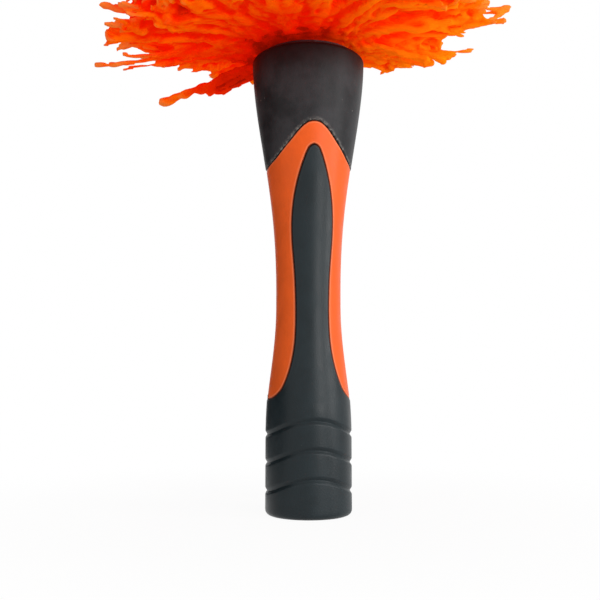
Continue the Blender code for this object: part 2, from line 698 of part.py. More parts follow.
def make_crown_tuft(parts, fibre):
    """The sewn disc that closes the sleeve's top, with its own upright strands."""
    hole = SCREW_RADIUS + FIT_GAP
    profile = [(CROWN_RADIUS, CROWN_TOP), (CROWN_RADIUS, STACK_TOP), (hole, STACK_TOP), (hole, CROWN_TOP)]
    crown = turned("crown_tuft", profile, HEAD_FACETS, parts, fibre)
    rows = (
        (CROWN_OUTER_STRANDS, CROWN_OUTER_ROOT_RADIUS, CROWN_OUTER_STRAND_ANGLE, CROWN_OUTER_WIDTH_SHARES),
        (CROWN_INNER_STRANDS, CROWN_INNER_ROOT_RADIUS, CROWN_INNER_STRAND_ANGLE, CROWN_INNER_WIDTH_SHARES),
    )
    root_height = (STACK_TOP + CROWN_TOP) / 2.0
    bm = bmesh.new()
    thicknesses = strand_thicknesses(CROWN_ROW_SPACING, CROWN_THICKNESS_SHARES)
    for count, root_radius, angle, width_shares in rows:
        for i in range(count):
            heading = math.tau * i / count
            sweep = math.pi / count
            points = strand_points(root_radius, root_height, CROWN_STRAND_LENGTH, angle, heading, sweep)
            add_strand(bm, points, strand_widths(points, count, width_shares), thicknesses)
    bmesh.ops.recalc_face_normals(bm, faces=bm.faces)
    return joined([crown, object_from_bmesh("crown_strands", bm, parts)])


def make_top_plug(parts, black):
    """The plug in the tube's top that the clamp screw bites into."""
    hole = SCREW_RADIUS + FIT_GAP
    bottom = TUBE_TOP - TOP_PLUG_LENGTH
    profile = [(STUB_RADIUS, TUBE_TOP), (STUB_RADIUS, bottom), (hole, bottom), (hole, TUBE_TOP)]
    return smooth(turned("top_plug", profile, CORE_FACETS, parts, black))


def make_clamp_washer(parts, steel):
    """The washer that spreads the screw's pull over the crown's backing."""
    bottom = CROWN_TOP + FIT_GAP
    top = bottom + CLAMP_WASHER_THICKNESS
    hole = SCREW_RADIUS + FIT_GAP
    profile = [(CLAMP_WASHER_RADIUS, top), (CLAMP_WASHER_RADIUS, bottom), (hole, bottom), (hole, top)]
    return smooth(turned("clamp_washer", profile, CORE_FACETS, parts, steel))


def make_clamp_screw(parts, cutters, steel):
    """The slotted screw that holds crown, washer and tube together."""
    seat = CROWN_TOP + FIT_GAP + CLAMP_WASHER_THICKNESS + FIT_GAP
    head_top = seat + SCREW_HEAD_HEIGHT
    profile = [
        (0.0, head_top), (SCREW_CROWN_RADIUS, head_top),
        (SCREW_HEAD_RADIUS, head_top - SCREW_CROWN_HEIGHT), (SCREW_HEAD_RADIUS, seat),
        (SCREW_RADIUS, seat), (SCREW_RADIUS, seat - SCREW_LENGTH), (0.0, seat - SCREW_LENGTH),
    ]
    screw = turned("clamp_screw", profile, SMALL_FACETS, parts, steel)
    bm = bmesh.new()
    bmesh.ops.create_cube(bm, size=1.0)
    bmesh.ops.scale(
        bm, verts=bm.verts,
        vec=(2.0 * SCREW_HEAD_RADIUS + CUT_OVERRUN, SCREW_SLOT_WIDTH, 2.0 * SCREW_SLOT_DEPTH))
    bmesh.ops.translate(bm, verts=bm.verts, vec=(0.0, 0.0, head_top))
    slot = as_cutter(object_from_bmesh("screw_slot", bm, cutters))
    return smooth(boolean(screw, slot, "DIFFERENCE"))


def build():
    clear_scene()
    parts = new_collection("microfiber_duster")
    cutters = new_collection("cutters")
    orange = new_material("orange_plastic", (0.80, 0.145, 0.035), 0.45)
    charcoal = new_material("charcoal_soft_grip", (0.035, 0.040, 0.044), 0.62)
    black = new_material("black_plastic", (0.02, 0.02, 0.022), 0.5)
    rubber = new_material("washer_rubber", (0.09, 0.09, 0.09), 0.8)
    aluminium = new_material("tube_aluminium", (0.62, 0.63, 0.65), 0.35, 1.0)
    steel = new_material("zinc_steel", (0.55, 0.55, 0.56), 0.3, 1.0)
    fibre = new_material("orange_microfibre", (0.90, 0.095, 0.005), 0.9)
    handle = [
        make_handle_core(parts, cutters, orange),
        make_collar_grip(parts, cutters, charcoal),
        make_lower_grip(parts, cutters, charcoal),
        make_end_cap(parts, charcoal),
        make_threaded_socket(parts, cutters, black),
    ]
    washer = make_thrust_washer(parts, rubber)
    head = [
        make_head_plug(parts, cutters, black),
        make_core_tube(parts, cutters, aluminium),
        make_tube_pin(parts, steel),
        make_crown_tuft(parts, fibre),
        make_top_plug(parts, black),
        make_clamp_washer(parts, steel),
        make_clamp_screw(parts, cutters, steel),
    ]
    head += [make_strand_ring(index, parts, fibre) for index in range(RING_COUNT)]
    hang(handle, new_empty("handle_axis", 0.0, parts))
    rise = new_empty("screw_rise_axis", WASHER_BOTTOM, parts)
    turn = new_empty("screw_turn_axis", PLUG_FLANGE_BOTTOM, parts)
    hang([washer, turn], rise)
    hang(head, turn)


build()
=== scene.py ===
import math

import bmesh
import bpy
import numpy as np
from bpy.props import FloatProperty, FloatVectorProperty, IntProperty, PointerProperty
from mathutils import Matrix, Vector


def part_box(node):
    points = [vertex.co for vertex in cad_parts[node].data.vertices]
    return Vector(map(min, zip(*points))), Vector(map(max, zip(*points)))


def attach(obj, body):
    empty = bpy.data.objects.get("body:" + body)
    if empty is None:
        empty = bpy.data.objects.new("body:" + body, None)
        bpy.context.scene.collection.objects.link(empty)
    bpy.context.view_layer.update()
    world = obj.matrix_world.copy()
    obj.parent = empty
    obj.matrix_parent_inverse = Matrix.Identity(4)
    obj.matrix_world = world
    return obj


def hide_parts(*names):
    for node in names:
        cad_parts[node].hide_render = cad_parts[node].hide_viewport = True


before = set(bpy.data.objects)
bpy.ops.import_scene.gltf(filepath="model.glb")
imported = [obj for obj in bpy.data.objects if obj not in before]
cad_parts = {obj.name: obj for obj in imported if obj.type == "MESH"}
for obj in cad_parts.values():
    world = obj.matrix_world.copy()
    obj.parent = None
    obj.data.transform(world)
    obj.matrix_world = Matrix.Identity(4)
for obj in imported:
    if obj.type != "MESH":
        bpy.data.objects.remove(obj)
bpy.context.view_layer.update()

bl_info = {
    "name": "Microfiber Duster",
    "version": (1, 0, 0),
    "blender": (4, 5, 0),
    "location": "View3D > Sidebar > Duster",
    "description": "Makes the grips, the orange core and the felted strand head of a hand duster",
    "category": "Object",
}

MM = 0.001
QUARTER_TURN = math.pi / 2.0

# Handle's outer shape
HANDLE_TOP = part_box("collar_grip")[1].z
BASE_RADIUS = 17.7 * MM
BASE_TOP = 36.0 * MM
WAIST_RADIUS = 13.65 * MM
WAIST_HEIGHT = 86.0 * MM
RIM_RADIUS = 23.7 * MM
MOUTH_RADIUS = 20.5 * MM
BASE_EASE = 1.15
RIM_EASE = 1.30
PANEL_BOTTOM = 46.3 * MM
ARCH_SIDE = 142.6 * MM
SEAM = 0.002 * MM

# Spine's right edge seen from the front, from its tip to the grip's foot: (half width, height)
SPINE_EDGE_MM = (
    (0.0, 148.9), (1.35, 148.3), (2.45, 146.9), (4.2, 142.5), (5.7, 137.6), (6.9, 132.6), (7.75, 127.6),
    (8.3, 121.7), (8.4, 116.0), (8.2, 110.5), (7.75, 104.8), (7.0, 94.4), (6.7, 83.6), (6.9, 73.5),
    (7.45, 67.4), (8.5, 61.8), (9.95, 56.6), (12.0, 51.5), (13.9, 48.8), (15.7, 47.1),
)
# Arch over the panel, from its top to the side: (half width, height)
ARCH_EDGE_MM = (
    (0.0, 158.4), (1.9, 158.15), (3.5, 157.4), (5.3, 156.0), (7.3, 153.9), (9.4, 151.4), (11.2, 149.4),
    (13.0, 147.3), (15.1, 144.9), (17.0, 143.3),
)
# Joint between grip and panel: where it starts above the base, how far its rubbing and painted shade reach, the
# distance given to points below it, the step between points along its edge, and the columns beside the edge
JOINT_BOTTOM = 40.0 * MM
JOINT_REACH = 0.7 * MM
FAR_OFF = 1000.0 * MM
EDGE_PITCH = 0.8 * MM
EDGE_STEPS_MM = (0.0, 0.05, 0.12, 0.22, 0.35, 0.5, 0.7, 1.0)

# Finger grooves: heights of their lines, rows about each line, and the wave they follow round the base
GROOVE_LEVELS = tuple((12.6 + 11.35 * i) * MM for i in range(3))
GROOVE_STEPS_MM = (
    -1.9, -1.6, -1.4, -1.25, -0.9, -0.5, -0.2, 0.0, 0.2, 0.5, 0.9, 1.25, 1.4, 1.6, 1.9, 3.6, 5.6, 7.6,
)
WAVE_HEIGHT = 3.0 * MM
WAVE_SPAN_MM = (3.0, 9.0, 39.0, 45.5)

# Strand head, rows counted from the collar up; crops are shares that the lowest strands lack at the sides
RING_COUNT = 7
ROWS_PER_RING = 2
GUIDES_PER_ROW = 20
RIGHT_CROP = 0.24
LEFT_CROP = 0.125
ROW_COUNT = RING_COUNT * ROWS_PER_RING
ROW_STEP = 10.0 * MM
LOWEST_ROW = 197.1 * MM
SLEEVE_RADIUS = 11.4 * MM
CROWN_GUIDES = 21
PILE_COUNT = 320
FORKED_SHARE = 0.35
# One strand: where it is cut into rings, and how full it is there, as (share of its length, fullness)
STRAND_RINGS = (0.10, 0.21, 0.33, 0.45, 0.57, 0.69, 0.80, 0.90, 0.97)
TAPERED = ((0.0, 0.5), (0.1, 0.75), (0.3, 1.0), (0.6, 1.0), (0.8, 0.92), (0.92, 0.78), (0.97, 0.62), (1.0, 0.0))
BLUNT = ((0.0, 0.5), (0.1, 0.85), (0.8, 0.9), (0.97, 1.15), (1.0, 0.0))
LEAST_HALF_WIDTH = 0.8 * MM
# Stray locks: heading in degrees, reach, height and bend of the tip, width, flatness (mm)
STRAY_LOCKS = (
    (-131.0, 88.0, 189.0, 0.7, 4.8, 0.9),
    (-132.0, 66.0, 190.5, 0.7, 4.4, 0.9),
    (-135.0, 62.0, 191.0, 0.6, 4.8, 0.9),
    (-140.0, 62.0, 192.4, 0.6, 5.0, 0.9),
    (-145.0, 64.0, 194.0, 0.6, 5.0, 0.9),
    (-150.0, 74.0, 198.0, 1.0, 5.0, 0.9),
    (-97.0, 94.0, 188.6, 0.9, 2.5, 1.0),
    (-104.0, 84.0, 189.5, 1.2, 2.4, 1.0),
    (-86.0, 86.5, 194.0, 0.8, 2.5, 1.0),
    (-93.0, 80.5, 190.5, 1.2, 2.6, 1.0),
    (-84.0, 88.0, 207.5, 0.7, 3.4, 0.9),
    (-84.0, 88.0, 207.5, 1.9, 2.6, 0.9),
    (90.0, 74.0, 198.6, 1.3, 2.3, 1.0),
    (93.0, 65.0, 196.0, 1.3, 4.4, 0.9),
    (82.0, 60.0, 190.5, 1.6, 4.4, 0.9),
    (75.0, 52.0, 187.5, 1.8, 4.4, 0.9),
    (100.0, 60.0, 196.5, 1.5, 4.4, 0.9),
    (88.0, 91.5, 219.5, 0.5, 2.7, 1.0),
    (88.0, 91.5, 218.5, 2.2, 2.5, 1.0),
    (90.0, 91.0, 220.0, 1.0, 2.3, 1.0),
    (80.0, 86.0, 207.5, 1.5, 3.0, 1.0),
    (162.0, 87.0, 203.0, 1.0, 5.0, 0.9),
    (157.0, 82.0, 205.5, 1.0, 5.0, 0.9),
    (151.0, 74.0, 206.0, 1.0, 5.0, 0.9),
)
HEM_TOP = 203.0 * MM
FELT_CELL = 1.26 * MM
UPPER_FELT_CELL = 1.35 * MM
CRUMB_POINTS = 600
# Ridges and creases of the felt: (mm across the strand, mm along it, depth in mm)
CREASES = ((4.2, 20.0, 0.65), (2.3, 12.0, 0.78))
LOWEST_ANGLE = math.radians(7.0)
HIGHEST_ANGLE = math.radians(61.0)
TILT_ANGLE = math.radians(12.0)
TILT_HEADING = math.radians(140.0)
ANGLE_EASE = 1.15

# The photograph's camera, worked out from its picture, and what its lamps look at
PHOTO_PIXELS = 600.0
FOCAL_PIXELS = 830.0
ASIDE_PIXELS = 8.4
EYE_DISTANCE = 345.0 * MM
EYE_HEIGHT = 55.0 * MM
LAMP_AIM = Vector((0.0, 0.0, 0.15))

# Colours that are no setting
WHITE = (1.0, 1.0, 1.0)
# darkest painted shade of the fibre, where strands lie deep under others, under the hem and by the rim
DEEPEST_PAINTED_SHADE = (0.30, 0.006, 0.0004)


# ---------------------------------------------------------------- settings

class HandleSettings(bpy.types.PropertyGroup):
    grip_thickness: FloatProperty(
        name="Grip thickness", description="Wall of the soft grips over the core", default=2.2 * MM,
        unit="LENGTH")
    edge_rounding: FloatProperty(
        name="Edge rounding", description="Radius of the edges where grip and panel meet", default=0.35 * MM,
        unit="LENGTH")
    joint_gap: FloatProperty(
        name="Joint gap", description="Open width between grip and orange panel", default=0.26 * MM,
        unit="LENGTH")
    panel_inset: FloatProperty(
        name="Panel inset", description="How far the orange panel lies below the grips", default=0.22 * MM,
        unit="LENGTH")
    groove_depth: FloatProperty(
        name="Groove depth", description="Depth of the finger grooves", default=0.9 * MM, unit="LENGTH")
    groove_width: FloatProperty(
        name="Groove width", description="Width of the finger grooves at the surface", default=2.7 * MM,
        unit="LENGTH")
    base_rounding: FloatProperty(
        name="Base rounding", description="Radius of the lower edge", default=2.2 * MM, unit="LENGTH")
    rim_rounding: FloatProperty(
        name="Rim rounding", description="Radius of the collar's upper edge", default=1.8 * MM, unit="LENGTH")


class HeadSettings(bpy.types.PropertyGroup):
    strand_length: FloatProperty(
        name="Strand length", description="Length of the longest strands", default=88.0 * MM, unit="LENGTH")
    strand_width: FloatProperty(
        name="Strand width", description="Usual width of a felted strand", default=4.6 * MM, unit="LENGTH")
    strands_per_guide: IntProperty(
        name="Strands per tuft", description="Strands that leave the sleeve together", default=10, min=1)
    seed: IntProperty(name="Seed", description="Changes how the strands fall", default=7)


class FinishSettings(bpy.types.PropertyGroup):
    grip: FloatVectorProperty(
        name="Grip colour", description="Charcoal of the soft grips", default=(0.0092, 0.0158, 0.0188),
        subtype="COLOR")
    plastic: FloatVectorProperty(
        name="Panel colour", description="Orange of the hard core", default=(0.77, 0.105, 0.008),
        subtype="COLOR")
    fibre: FloatVectorProperty(
        name="Fibre colour", description="Orange of the felted strands", default=(0.97, 0.121, 0.0006),
        subtype="COLOR")
    # painted shade: the red that the fibre's creases and covered strands are painted with
    fibre_shade: FloatVectorProperty(
        name="Fibre shade", description="Red between the strands", default=(0.87, 0.008, 0.0002),
        subtype="COLOR")
    fibre_tip: FloatVectorProperty(
        name="Fibre tips", description="Paler orange at the strands' ends", default=(0.78, 0.185, 0.032),
        subtype="COLOR")


class StageSettings(bpy.types.PropertyGroup):
    key: FloatProperty(
        name="Key lamp", description="Power of the tall soft lamp on the right", default=4.9, unit="POWER")
    front: FloatProperty(
        name="Front lamp", description="Power of the tall soft lamp in front", default=5.5, unit="POWER")
    fill: FloatProperty(
        name="Fill lamp", description="Power of the soft lamp on the left", default=2.7, unit="POWER")
    sky: FloatProperty(
        name="Surround", description="Level of the even light from all round", default=0.36)


# ---------------------------------------------------------------- meshes

def handle_radius(height):
    """Outer radius of the handle: straight base, drawn-in waist, flared rim."""
    height = np.asarray(height, float)
    below = np.clip((WAIST_HEIGHT - height) / (WAIST_HEIGHT - BASE_TOP), 0.0, 1.0) ** BASE_EASE
    above = np.clip((height - WAIST_HEIGHT) / (HANDLE_TOP - WAIST_HEIGHT), 0.0, 1.0) ** RIM_EASE
    rise = np.where(height < WAIST_HEIGHT, below, above)
    rise = rise * rise * (3.0 - 2.0 * rise)
    return WAIST_RADIUS + (np.where(height < WAIST_HEIGHT, BASE_RADIUS, RIM_RADIUS) - WAIST_RADIUS) * rise


def flowing_line(points):
    """A smooth line through the points, as many short pieces."""
    points = np.asarray(points, float)
    ends = np.vstack([2.0 * points[0] - points[1], points, 2.0 * points[-1] - points[-2]])
    share = np.linspace(0.0, 1.0, 24, endpoint=False)[:, None]
    pieces = []
    for before, start, end, after in zip(ends, ends[1:], ends[2:], ends[3:]):
        bend = 2.0 * before - 5.0 * start + 4.0 * end - after
        twist = 3.0 * (start - end) + after - before
        pieces.append(start + 0.5 * share * ((end - before) + share * (bend + share * twist)))
    return np.vstack(pieces + [points[-1:]])


def unrolled(edge_mm, side_height):
    """A front-view edge laid out on the handle's skin as (heading, height), ending square to the side."""
    x, height = np.asarray(edge_mm).T * MM
    heading = np.arcsin(np.clip(x / handle_radius(height), 0.0, 1.0))
    rest = np.linspace(0.0, 1.0, 4)[1:]
    ease = rest * (2.0 - rest)
    tail = np.column_stack([
        heading[-1] + (QUARTER_TURN - heading[-1]) * rest,
        height[-1] + (side_height - height[-1]) * ease,
    ])
    return flowing_line(np.vstack([np.column_stack([heading, height]), tail]))


def on_skin(line):
    """(heading, height) as lengths along the skin."""
    return np.column_stack([line[:, 0] * handle_radius(line[:, 1]), line[:, 1]])


def run_lengths(points):
    """How far along the line each of its points lies."""
    return np.concatenate([[0.0], np.cumsum(np.linalg.norm(np.diff(points, axis=0), axis=1))])


def even_points(line, step):
    """The line again with its points an even step apart along the skin."""
    run = run_lengths(on_skin(line))
    places = np.linspace(0.0, run[-1], max(2, round(run[-1] / step)) + 1)
    return np.column_stack([np.interp(places, run, line[:, 0]), np.interp(places, run, line[:, 1])])


def moved_edge(line, gap):
    """The (heading, height) line moved sideways along the skin by the gap."""
    skin = on_skin(line)
    along = np.gradient(skin, axis=0)
    along /= np.linalg.norm(along, axis=1)[:, None] + 1e-12
    skin = skin + np.column_stack([-along[:, 1], along[:, 0]]) * gap
    heading = skin[:, 0] / handle_radius(skin[:, 1])
    return np.column_stack([np.clip(heading, 0.0, QUARTER_TURN), skin[:, 1]])


def edge_distance(heading, height, lines):
    """How far each point of the skin lies from the nearest of the lines."""
    skin = on_skin(np.column_stack([heading, height]))
    edge = np.vstack([on_skin(even_points(line, 0.15 * MM)) for line in lines])
    found = np.empty(len(skin))
    for start in range(0, len(skin), 500):
        part = skin[start:start + 500, None, :] - edge[None, :, :]
        found[start:start + 500] = np.sqrt((part ** 2).sum(2).min(1))
    return found


def edge_fall(distance, rounding):
    """How far a rounded edge has dropped at a distance from it."""
    inside = np.clip(rounding - distance, 0.0, rounding)
    return rounding - np.sqrt(rounding ** 2 - inside ** 2)


def joint_nearness(distance):
    """1 at a joint's edge, fading out within about a millimetre."""
    return np.exp(-(distance / JOINT_REACH) ** 2)


def skin_points(heading, height, radius):
    """Places from headings that start at the front, heights and radii."""
    return np.column_stack([radius * np.sin(heading), -radius * np.cos(heading), height])


def sheet_of(places, nearness):
    """A sheet of faces through rows of places; each point stores how near it is to a joint's edge."""
    rows, columns = len(places) - 1, len(places[0]) - 1
    places, nearness = np.vstack(places), np.concatenate(nearness)
    bm = bmesh.new()
    layer = bm.verts.layers.float.new("edge")
    for vert in bmesh.ops.create_grid(bm, x_segments=columns, y_segments=rows, size=1.0)["verts"]:
        column = round((vert.co.x + 1.0) / 2.0 * columns)
        row = round((vert.co.y + 1.0) / 2.0 * rows)
        index = row * (columns + 1) + column
        vert.co = places[index]
        vert[layer] = nearness[index]
    return bm


def repeat_round(bm):
    """Mirrors a quarter of the handle to the other side and to the back, and closes the seams."""
    for axis in ("X", "Y"):
        bmesh.ops.mirror(bm, geom=bm.verts[:] + bm.edges[:] + bm.faces[:], merge_dist=0.0, axis=axis)
        bmesh.ops.remove_doubles(bm, verts=bm.verts, dist=SEAM)
    bmesh.ops.dissolve_degenerate(bm, edges=bm.edges, dist=0.5 * SEAM)


def turn_outwards(bm):
    """Turns every face of an open sleeve away from the handle's axis, or down where it is level."""
    bmesh.ops.recalc_face_normals(bm, faces=bm.faces)
    inward = [
        face for face in bm.faces
        if face.normal.dot(Vector((*face.calc_center_median().xy, 0.0)).normalized()
                           - Vector((0.0, 0.0, 1e-3))) < 0.0
    ]
    if len(inward) > len(bm.faces) / 2:
        bmesh.ops.reverse_faces(bm, faces=bm.faces)


def order_by_place(bm):
    """Puts points and faces in order of place, because turning a section orders them differently each time."""
    for parts, place in ((bm.verts, lambda vert: vert.co), (bm.faces, lambda face: face.calc_center_median())):
        for number, part in enumerate(sorted(parts, key=lambda part: tuple(place(part)))):
            part.index = number
        parts.sort()


def new_piece(name, bm):
    """A piece in the scene from the faces made so far."""
    mesh = bpy.data.meshes.new(name)
    bm.to_mesh(mesh)
    bm.free()
    piece = bpy.data.objects.new(name, mesh)
    bpy.context.scene.collection.objects.link(piece)
    return piece


def drop(piece):
    """Deletes a piece that was only a step on the way, with its mesh."""
    mesh = piece.data
    bpy.data.objects.remove(piece)
    bpy.data.meshes.remove(mesh)


def add_wall(piece, thickness):
    """Gives an open sleeve its wall, inwards from its skin."""
    wall = piece.modifiers.new("Wall", "SOLIDIFY")
    wall.thickness = thickness
    wall.offset = -1.0
    return piece


def applied(piece):
    """Replaces the piece's mesh by what its modifiers make of it."""
    graph = bpy.context.evaluated_depsgraph_get()
    mesh = bpy.data.meshes.new_from_object(piece.evaluated_get(graph))
    piece.modifiers.clear()
    old = piece.data
    piece.data = mesh
    mesh.name = piece.name
    bpy.data.meshes.remove(old)
    return piece


def smooth(piece):
    """Smooth shading that keeps the hard edges."""
    piece.data.shade_smooth()
    piece.data.set_sharp_from_angle(angle=math.radians(38.0))
    return piece


def settle(piece, body, slot_name, material, *nodes):
    """Gives the piece its finish, and its body and CAD nodes in the frame; the slot name is not used."""
    piece.data.materials.clear()
    piece.data.materials.append(material)
    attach(piece, body)
    if nodes:
        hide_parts(*nodes)
    return piece


# ---------------------------------------------------------------- handle pieces

def groove_fall(offset, width, depth):
    """Depth of a V groove with softened lips at an offset from its line."""
    rise = 1.0 - np.sqrt((offset / (width / 2.0)) ** 2 + 0.008)
    return depth * 0.5 * (rise + np.sqrt(rise ** 2 + 0.012))


def base_rows(panel_foot):
    """Heights of the base's rows before the wave: close together in the grooves and near the panel's foot."""
    rows = [2.3, 3.4, 4.8, 6.4]
    for level in GROOVE_LEVELS:
        rows += [level / MM + step for step in GROOVE_STEPS_MM]
    rows = [row for row in rows if row < 44.6] + [45.3]
    return np.array(rows + [panel_foot / MM - step for step in (0.6, 0.35, 0.22, 0.12, 0.05)]) * MM


def make_lower_grip(settings):
    """The charcoal base sleeve with its wavy grooves, and the spines that run up front and back."""
    edge = moved_edge(unrolled(SPINE_EDGE_MM, PANEL_BOTTOM), -settings.joint_gap / 2.0)
    edge[0] = (0.0, edge[0, 1])
    rim = even_points(edge, EDGE_PITCH)[::-1]
    level = base_rows(edge[-1, 1])
    corner = np.linspace(0.0, QUARTER_TURN, 7)[:-1]
    rounding = settings.base_rounding
    lip_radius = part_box("end_cap")[1].x + 0.3 * MM
    flat = np.linspace(0.0, 1.0, 4)[:-1]
    # Radius, height and side of each row; the rows of the spine narrow towards its tip
    row_radius = np.concatenate([
        lip_radius + (BASE_RADIUS - rounding - lip_radius) * flat,
        BASE_RADIUS - rounding * (1.0 - np.sin(corner)),
        handle_radius(level), handle_radius(rim[:, 1]),
    ])
    row_height = np.concatenate([
        np.zeros(len(flat)), rounding * (1.0 - np.cos(corner)), level, rim[:, 1]])
    row_heading = np.concatenate([np.full(len(row_height) - len(rim), QUARTER_TURN), rim[:, 0]])
    wave_fade = np.interp(row_height, np.array(WAVE_SPAN_MM) * MM, [0.0, 1.0, 1.0, 0.0])
    near = np.array(EDGE_STEPS_MM) * MM
    inner_columns = 20
    places, nearness = [], []
    for radius, height, widest, fade in zip(row_radius, row_height, row_heading, wave_fade):
        width = radius * widest
        steps = near * min(1.0, width / (1.4 * MM))
        along = np.concatenate([
            np.linspace(0.0, max(width - steps[-1], 0.0), inner_columns), (width - steps[::-1])[1:]])
        heading = along / radius
        wave = WAVE_HEIGHT * np.cos(2.0 * heading) * fade
        sunk = sum(
            groove_fall(height - line, settings.groove_width, settings.groove_depth) for line in GROOVE_LEVELS)
        distance = np.full(len(heading), FAR_OFF)
        if height > JOINT_BOTTOM:
            distance = edge_distance(heading, np.full(len(heading), height), [edge])
        fall = edge_fall(distance, settings.edge_rounding)
        places.append(skin_points(heading, height + wave, radius - sunk * fade - fall))
        nearness.append(joint_nearness(distance) - np.clip(sunk / settings.groove_depth, 0.0, 1.0))
    bm = sheet_of(places, nearness)
    repeat_round(bm)
    turn_outwards(bm)
    return smooth(add_wall(new_piece("lower_grip_sleeve", bm), settings.grip_thickness))


def make_collar(settings):
    """The charcoal collar: a flared sleeve with an arched lower edge, turned in over the rim."""
    edge = moved_edge(unrolled(ARCH_EDGE_MM, ARCH_SIDE), settings.joint_gap / 2.0)
    headings = np.linspace(0.0, QUARTER_TURN, 45)
    feet = np.interp(headings, edge[:, 0], edge[:, 1])
    feet[0] = edge[0, 1]
    rounding = settings.rim_rounding
    shoulder = HANDLE_TOP - rounding
    inner_top = HANDLE_TOP - 2.5 * MM
    lip = 0.45 * MM
    shares = np.concatenate([[0.0, 0.0022, 0.005, 0.009, 0.015, 0.03, 0.055], np.linspace(0.09, 1.0, 18)])
    corner = np.linspace(0.0, QUARTER_TURN, 8)[1:]
    inner_corner = np.linspace(0.0, QUARTER_TURN, 5)
    places, nearness = [], []
    for heading, foot in zip(headings, feet):
        outer = foot + (shoulder - foot) * shares
        distance = edge_distance(np.full(len(outer), heading), outer, [edge])
        radius = handle_radius(outer) - edge_fall(distance, settings.edge_rounding)
        inner = np.linspace(inner_top, foot, 12)
        section_radius = np.concatenate([
            radius,
            RIM_RADIUS - rounding * (1.0 - np.cos(corner)),
            [MOUTH_RADIUS + lip * 1.6],
            MOUTH_RADIUS + lip * (1.0 - np.sin(inner_corner)),
            [MOUTH_RADIUS],
            handle_radius(inner) - settings.grip_thickness,
            radius[:1],
        ])
        section_height = np.concatenate([
            outer,
            shoulder + rounding * np.sin(corner),
            [HANDLE_TOP],
            HANDLE_TOP - lip * (1.0 - np.cos(inner_corner)),
            [inner_top],
            inner,
            outer[:1],
        ])
        places.append(skin_points(np.full(len(section_radius), heading), section_height, section_radius))
        near = np.zeros(len(section_radius))
        near[:len(distance)] = joint_nearness(distance)
        nearness.append(near)
    bm = sheet_of(places, nearness)
    bmesh.ops.remove_doubles(bm, verts=bm.verts, dist=SEAM)
    repeat_round(bm)
    bmesh.ops.recalc_face_normals(bm, faces=bm.faces)
    return smooth(new_piece("collar_sleeve", bm))


def make_orange_core(settings):
    """The orange panels between spine and arch, on the hollow hourglass core that carries them."""
    half_gap = settings.joint_gap / 2.0
    spine = moved_edge(unrolled(SPINE_EDGE_MM, PANEL_BOTTOM), half_gap)
    arch = moved_edge(unrolled(ARCH_EDGE_MM, ARCH_SIDE), -half_gap)
    spine[0] = (0.0, spine[0, 1])
    lower = even_points(spine, EDGE_PITCH)[::-1]
    lower = lower[lower[:, 1] < ARCH_SIDE - 1.0 * MM]
    top_rows = 30
    tip_part = spine[spine[:, 1] >= lower[-1, 1]][::-1]
    side_height = arch[-1, 1]
    tip_part = even_points(tip_part, run_lengths(on_skin(tip_part))[-1] / top_rows)
    arch_part = np.vstack([[QUARTER_TURN, lower[-1, 1]], arch[::-1]])
    arch_part = even_points(arch_part, run_lengths(on_skin(arch_part))[-1] / top_rows)
    inner = np.vstack([lower, tip_part[1:]])
    outer = np.vstack([np.column_stack([np.full(len(lower), QUARTER_TURN), lower[:, 1]]), arch_part[1:]])
    outer[:, 1] = np.minimum(outer[:, 1], np.where(outer[:, 0] >= QUARTER_TURN, side_height, outer[:, 1]))
    near = np.array(EDGE_STEPS_MM) * MM
    places, nearness = [], []
    for start, end in zip(inner, outer):
        ends = on_skin(np.vstack([start, end]))
        width = max(np.linalg.norm(ends[1] - ends[0]), 1e-9)
        steps = near * min(1.0, width / (2.8 * MM)) / width
        middle = np.linspace(steps[-1], 1.0 - steps[-1], 17)[1:-1]
        share = np.concatenate([steps, middle, (1.0 - steps)[::-1]])
        points = start + (end - start) * share[:, None]
        distance = edge_distance(points[:, 0], points[:, 1], [spine, arch])
        fall = edge_fall(distance, 2.0 * settings.edge_rounding)
        radius = handle_radius(points[:, 1]) - settings.panel_inset - fall
        places.append(skin_points(points[:, 0], points[:, 1], radius))
        nearness.append(joint_nearness(distance))
    bm = sheet_of(places, nearness)
    repeat_round(bm)
    turn_outwards(bm)
    panels = applied(add_wall(new_piece("orange_panels", bm), settings.grip_thickness + 0.2 * MM))
    bm = bmesh.new()
    bm.from_mesh(panels.data)
    drop(panels)
    add_hourglass_tube(bm, settings)
    return smooth(new_piece("orange_core", bm))


def add_hourglass_tube(bm, settings):
    """The hollow core under grips and panels, turned from its section."""
    low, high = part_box("handle_core")
    recess = settings.grip_thickness + 0.3 * MM
    wall = 2.4 * MM
    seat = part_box("threaded_socket")[1].x + 0.3 * MM
    seat_height = high.z - 3.3 * MM
    heights = np.linspace(low.z, high.z, 40)
    outside = [(float(handle_radius(height)) - recess, height) for height in heights]
    bore = [(radius - wall, height) for radius, height in outside if height < seat_height]
    bore.append((float(handle_radius(seat_height)) - recess - wall, seat_height))
    section = outside + [(seat, high.z), (seat, seat_height)] + bore[::-1]
    panels = set(bm.faces)
    points = [bm.verts.new((0.0, -radius, height)) for radius, height in section]
    edges = [bm.edges.new(pair) for pair in zip(points, points[1:] + points[:1])]
    bmesh.ops.spin(
        bm, geom=points + edges, cent=(0.0, 0.0, 0.0), axis=(0.0, 0.0, 1.0), angle=math.tau, steps=64,
        use_merge=True)
    bmesh.ops.recalc_face_normals(bm, faces=[face for face in bm.faces if face not in panels])
    order_by_place(bm)


# ---------------------------------------------------------------- strands

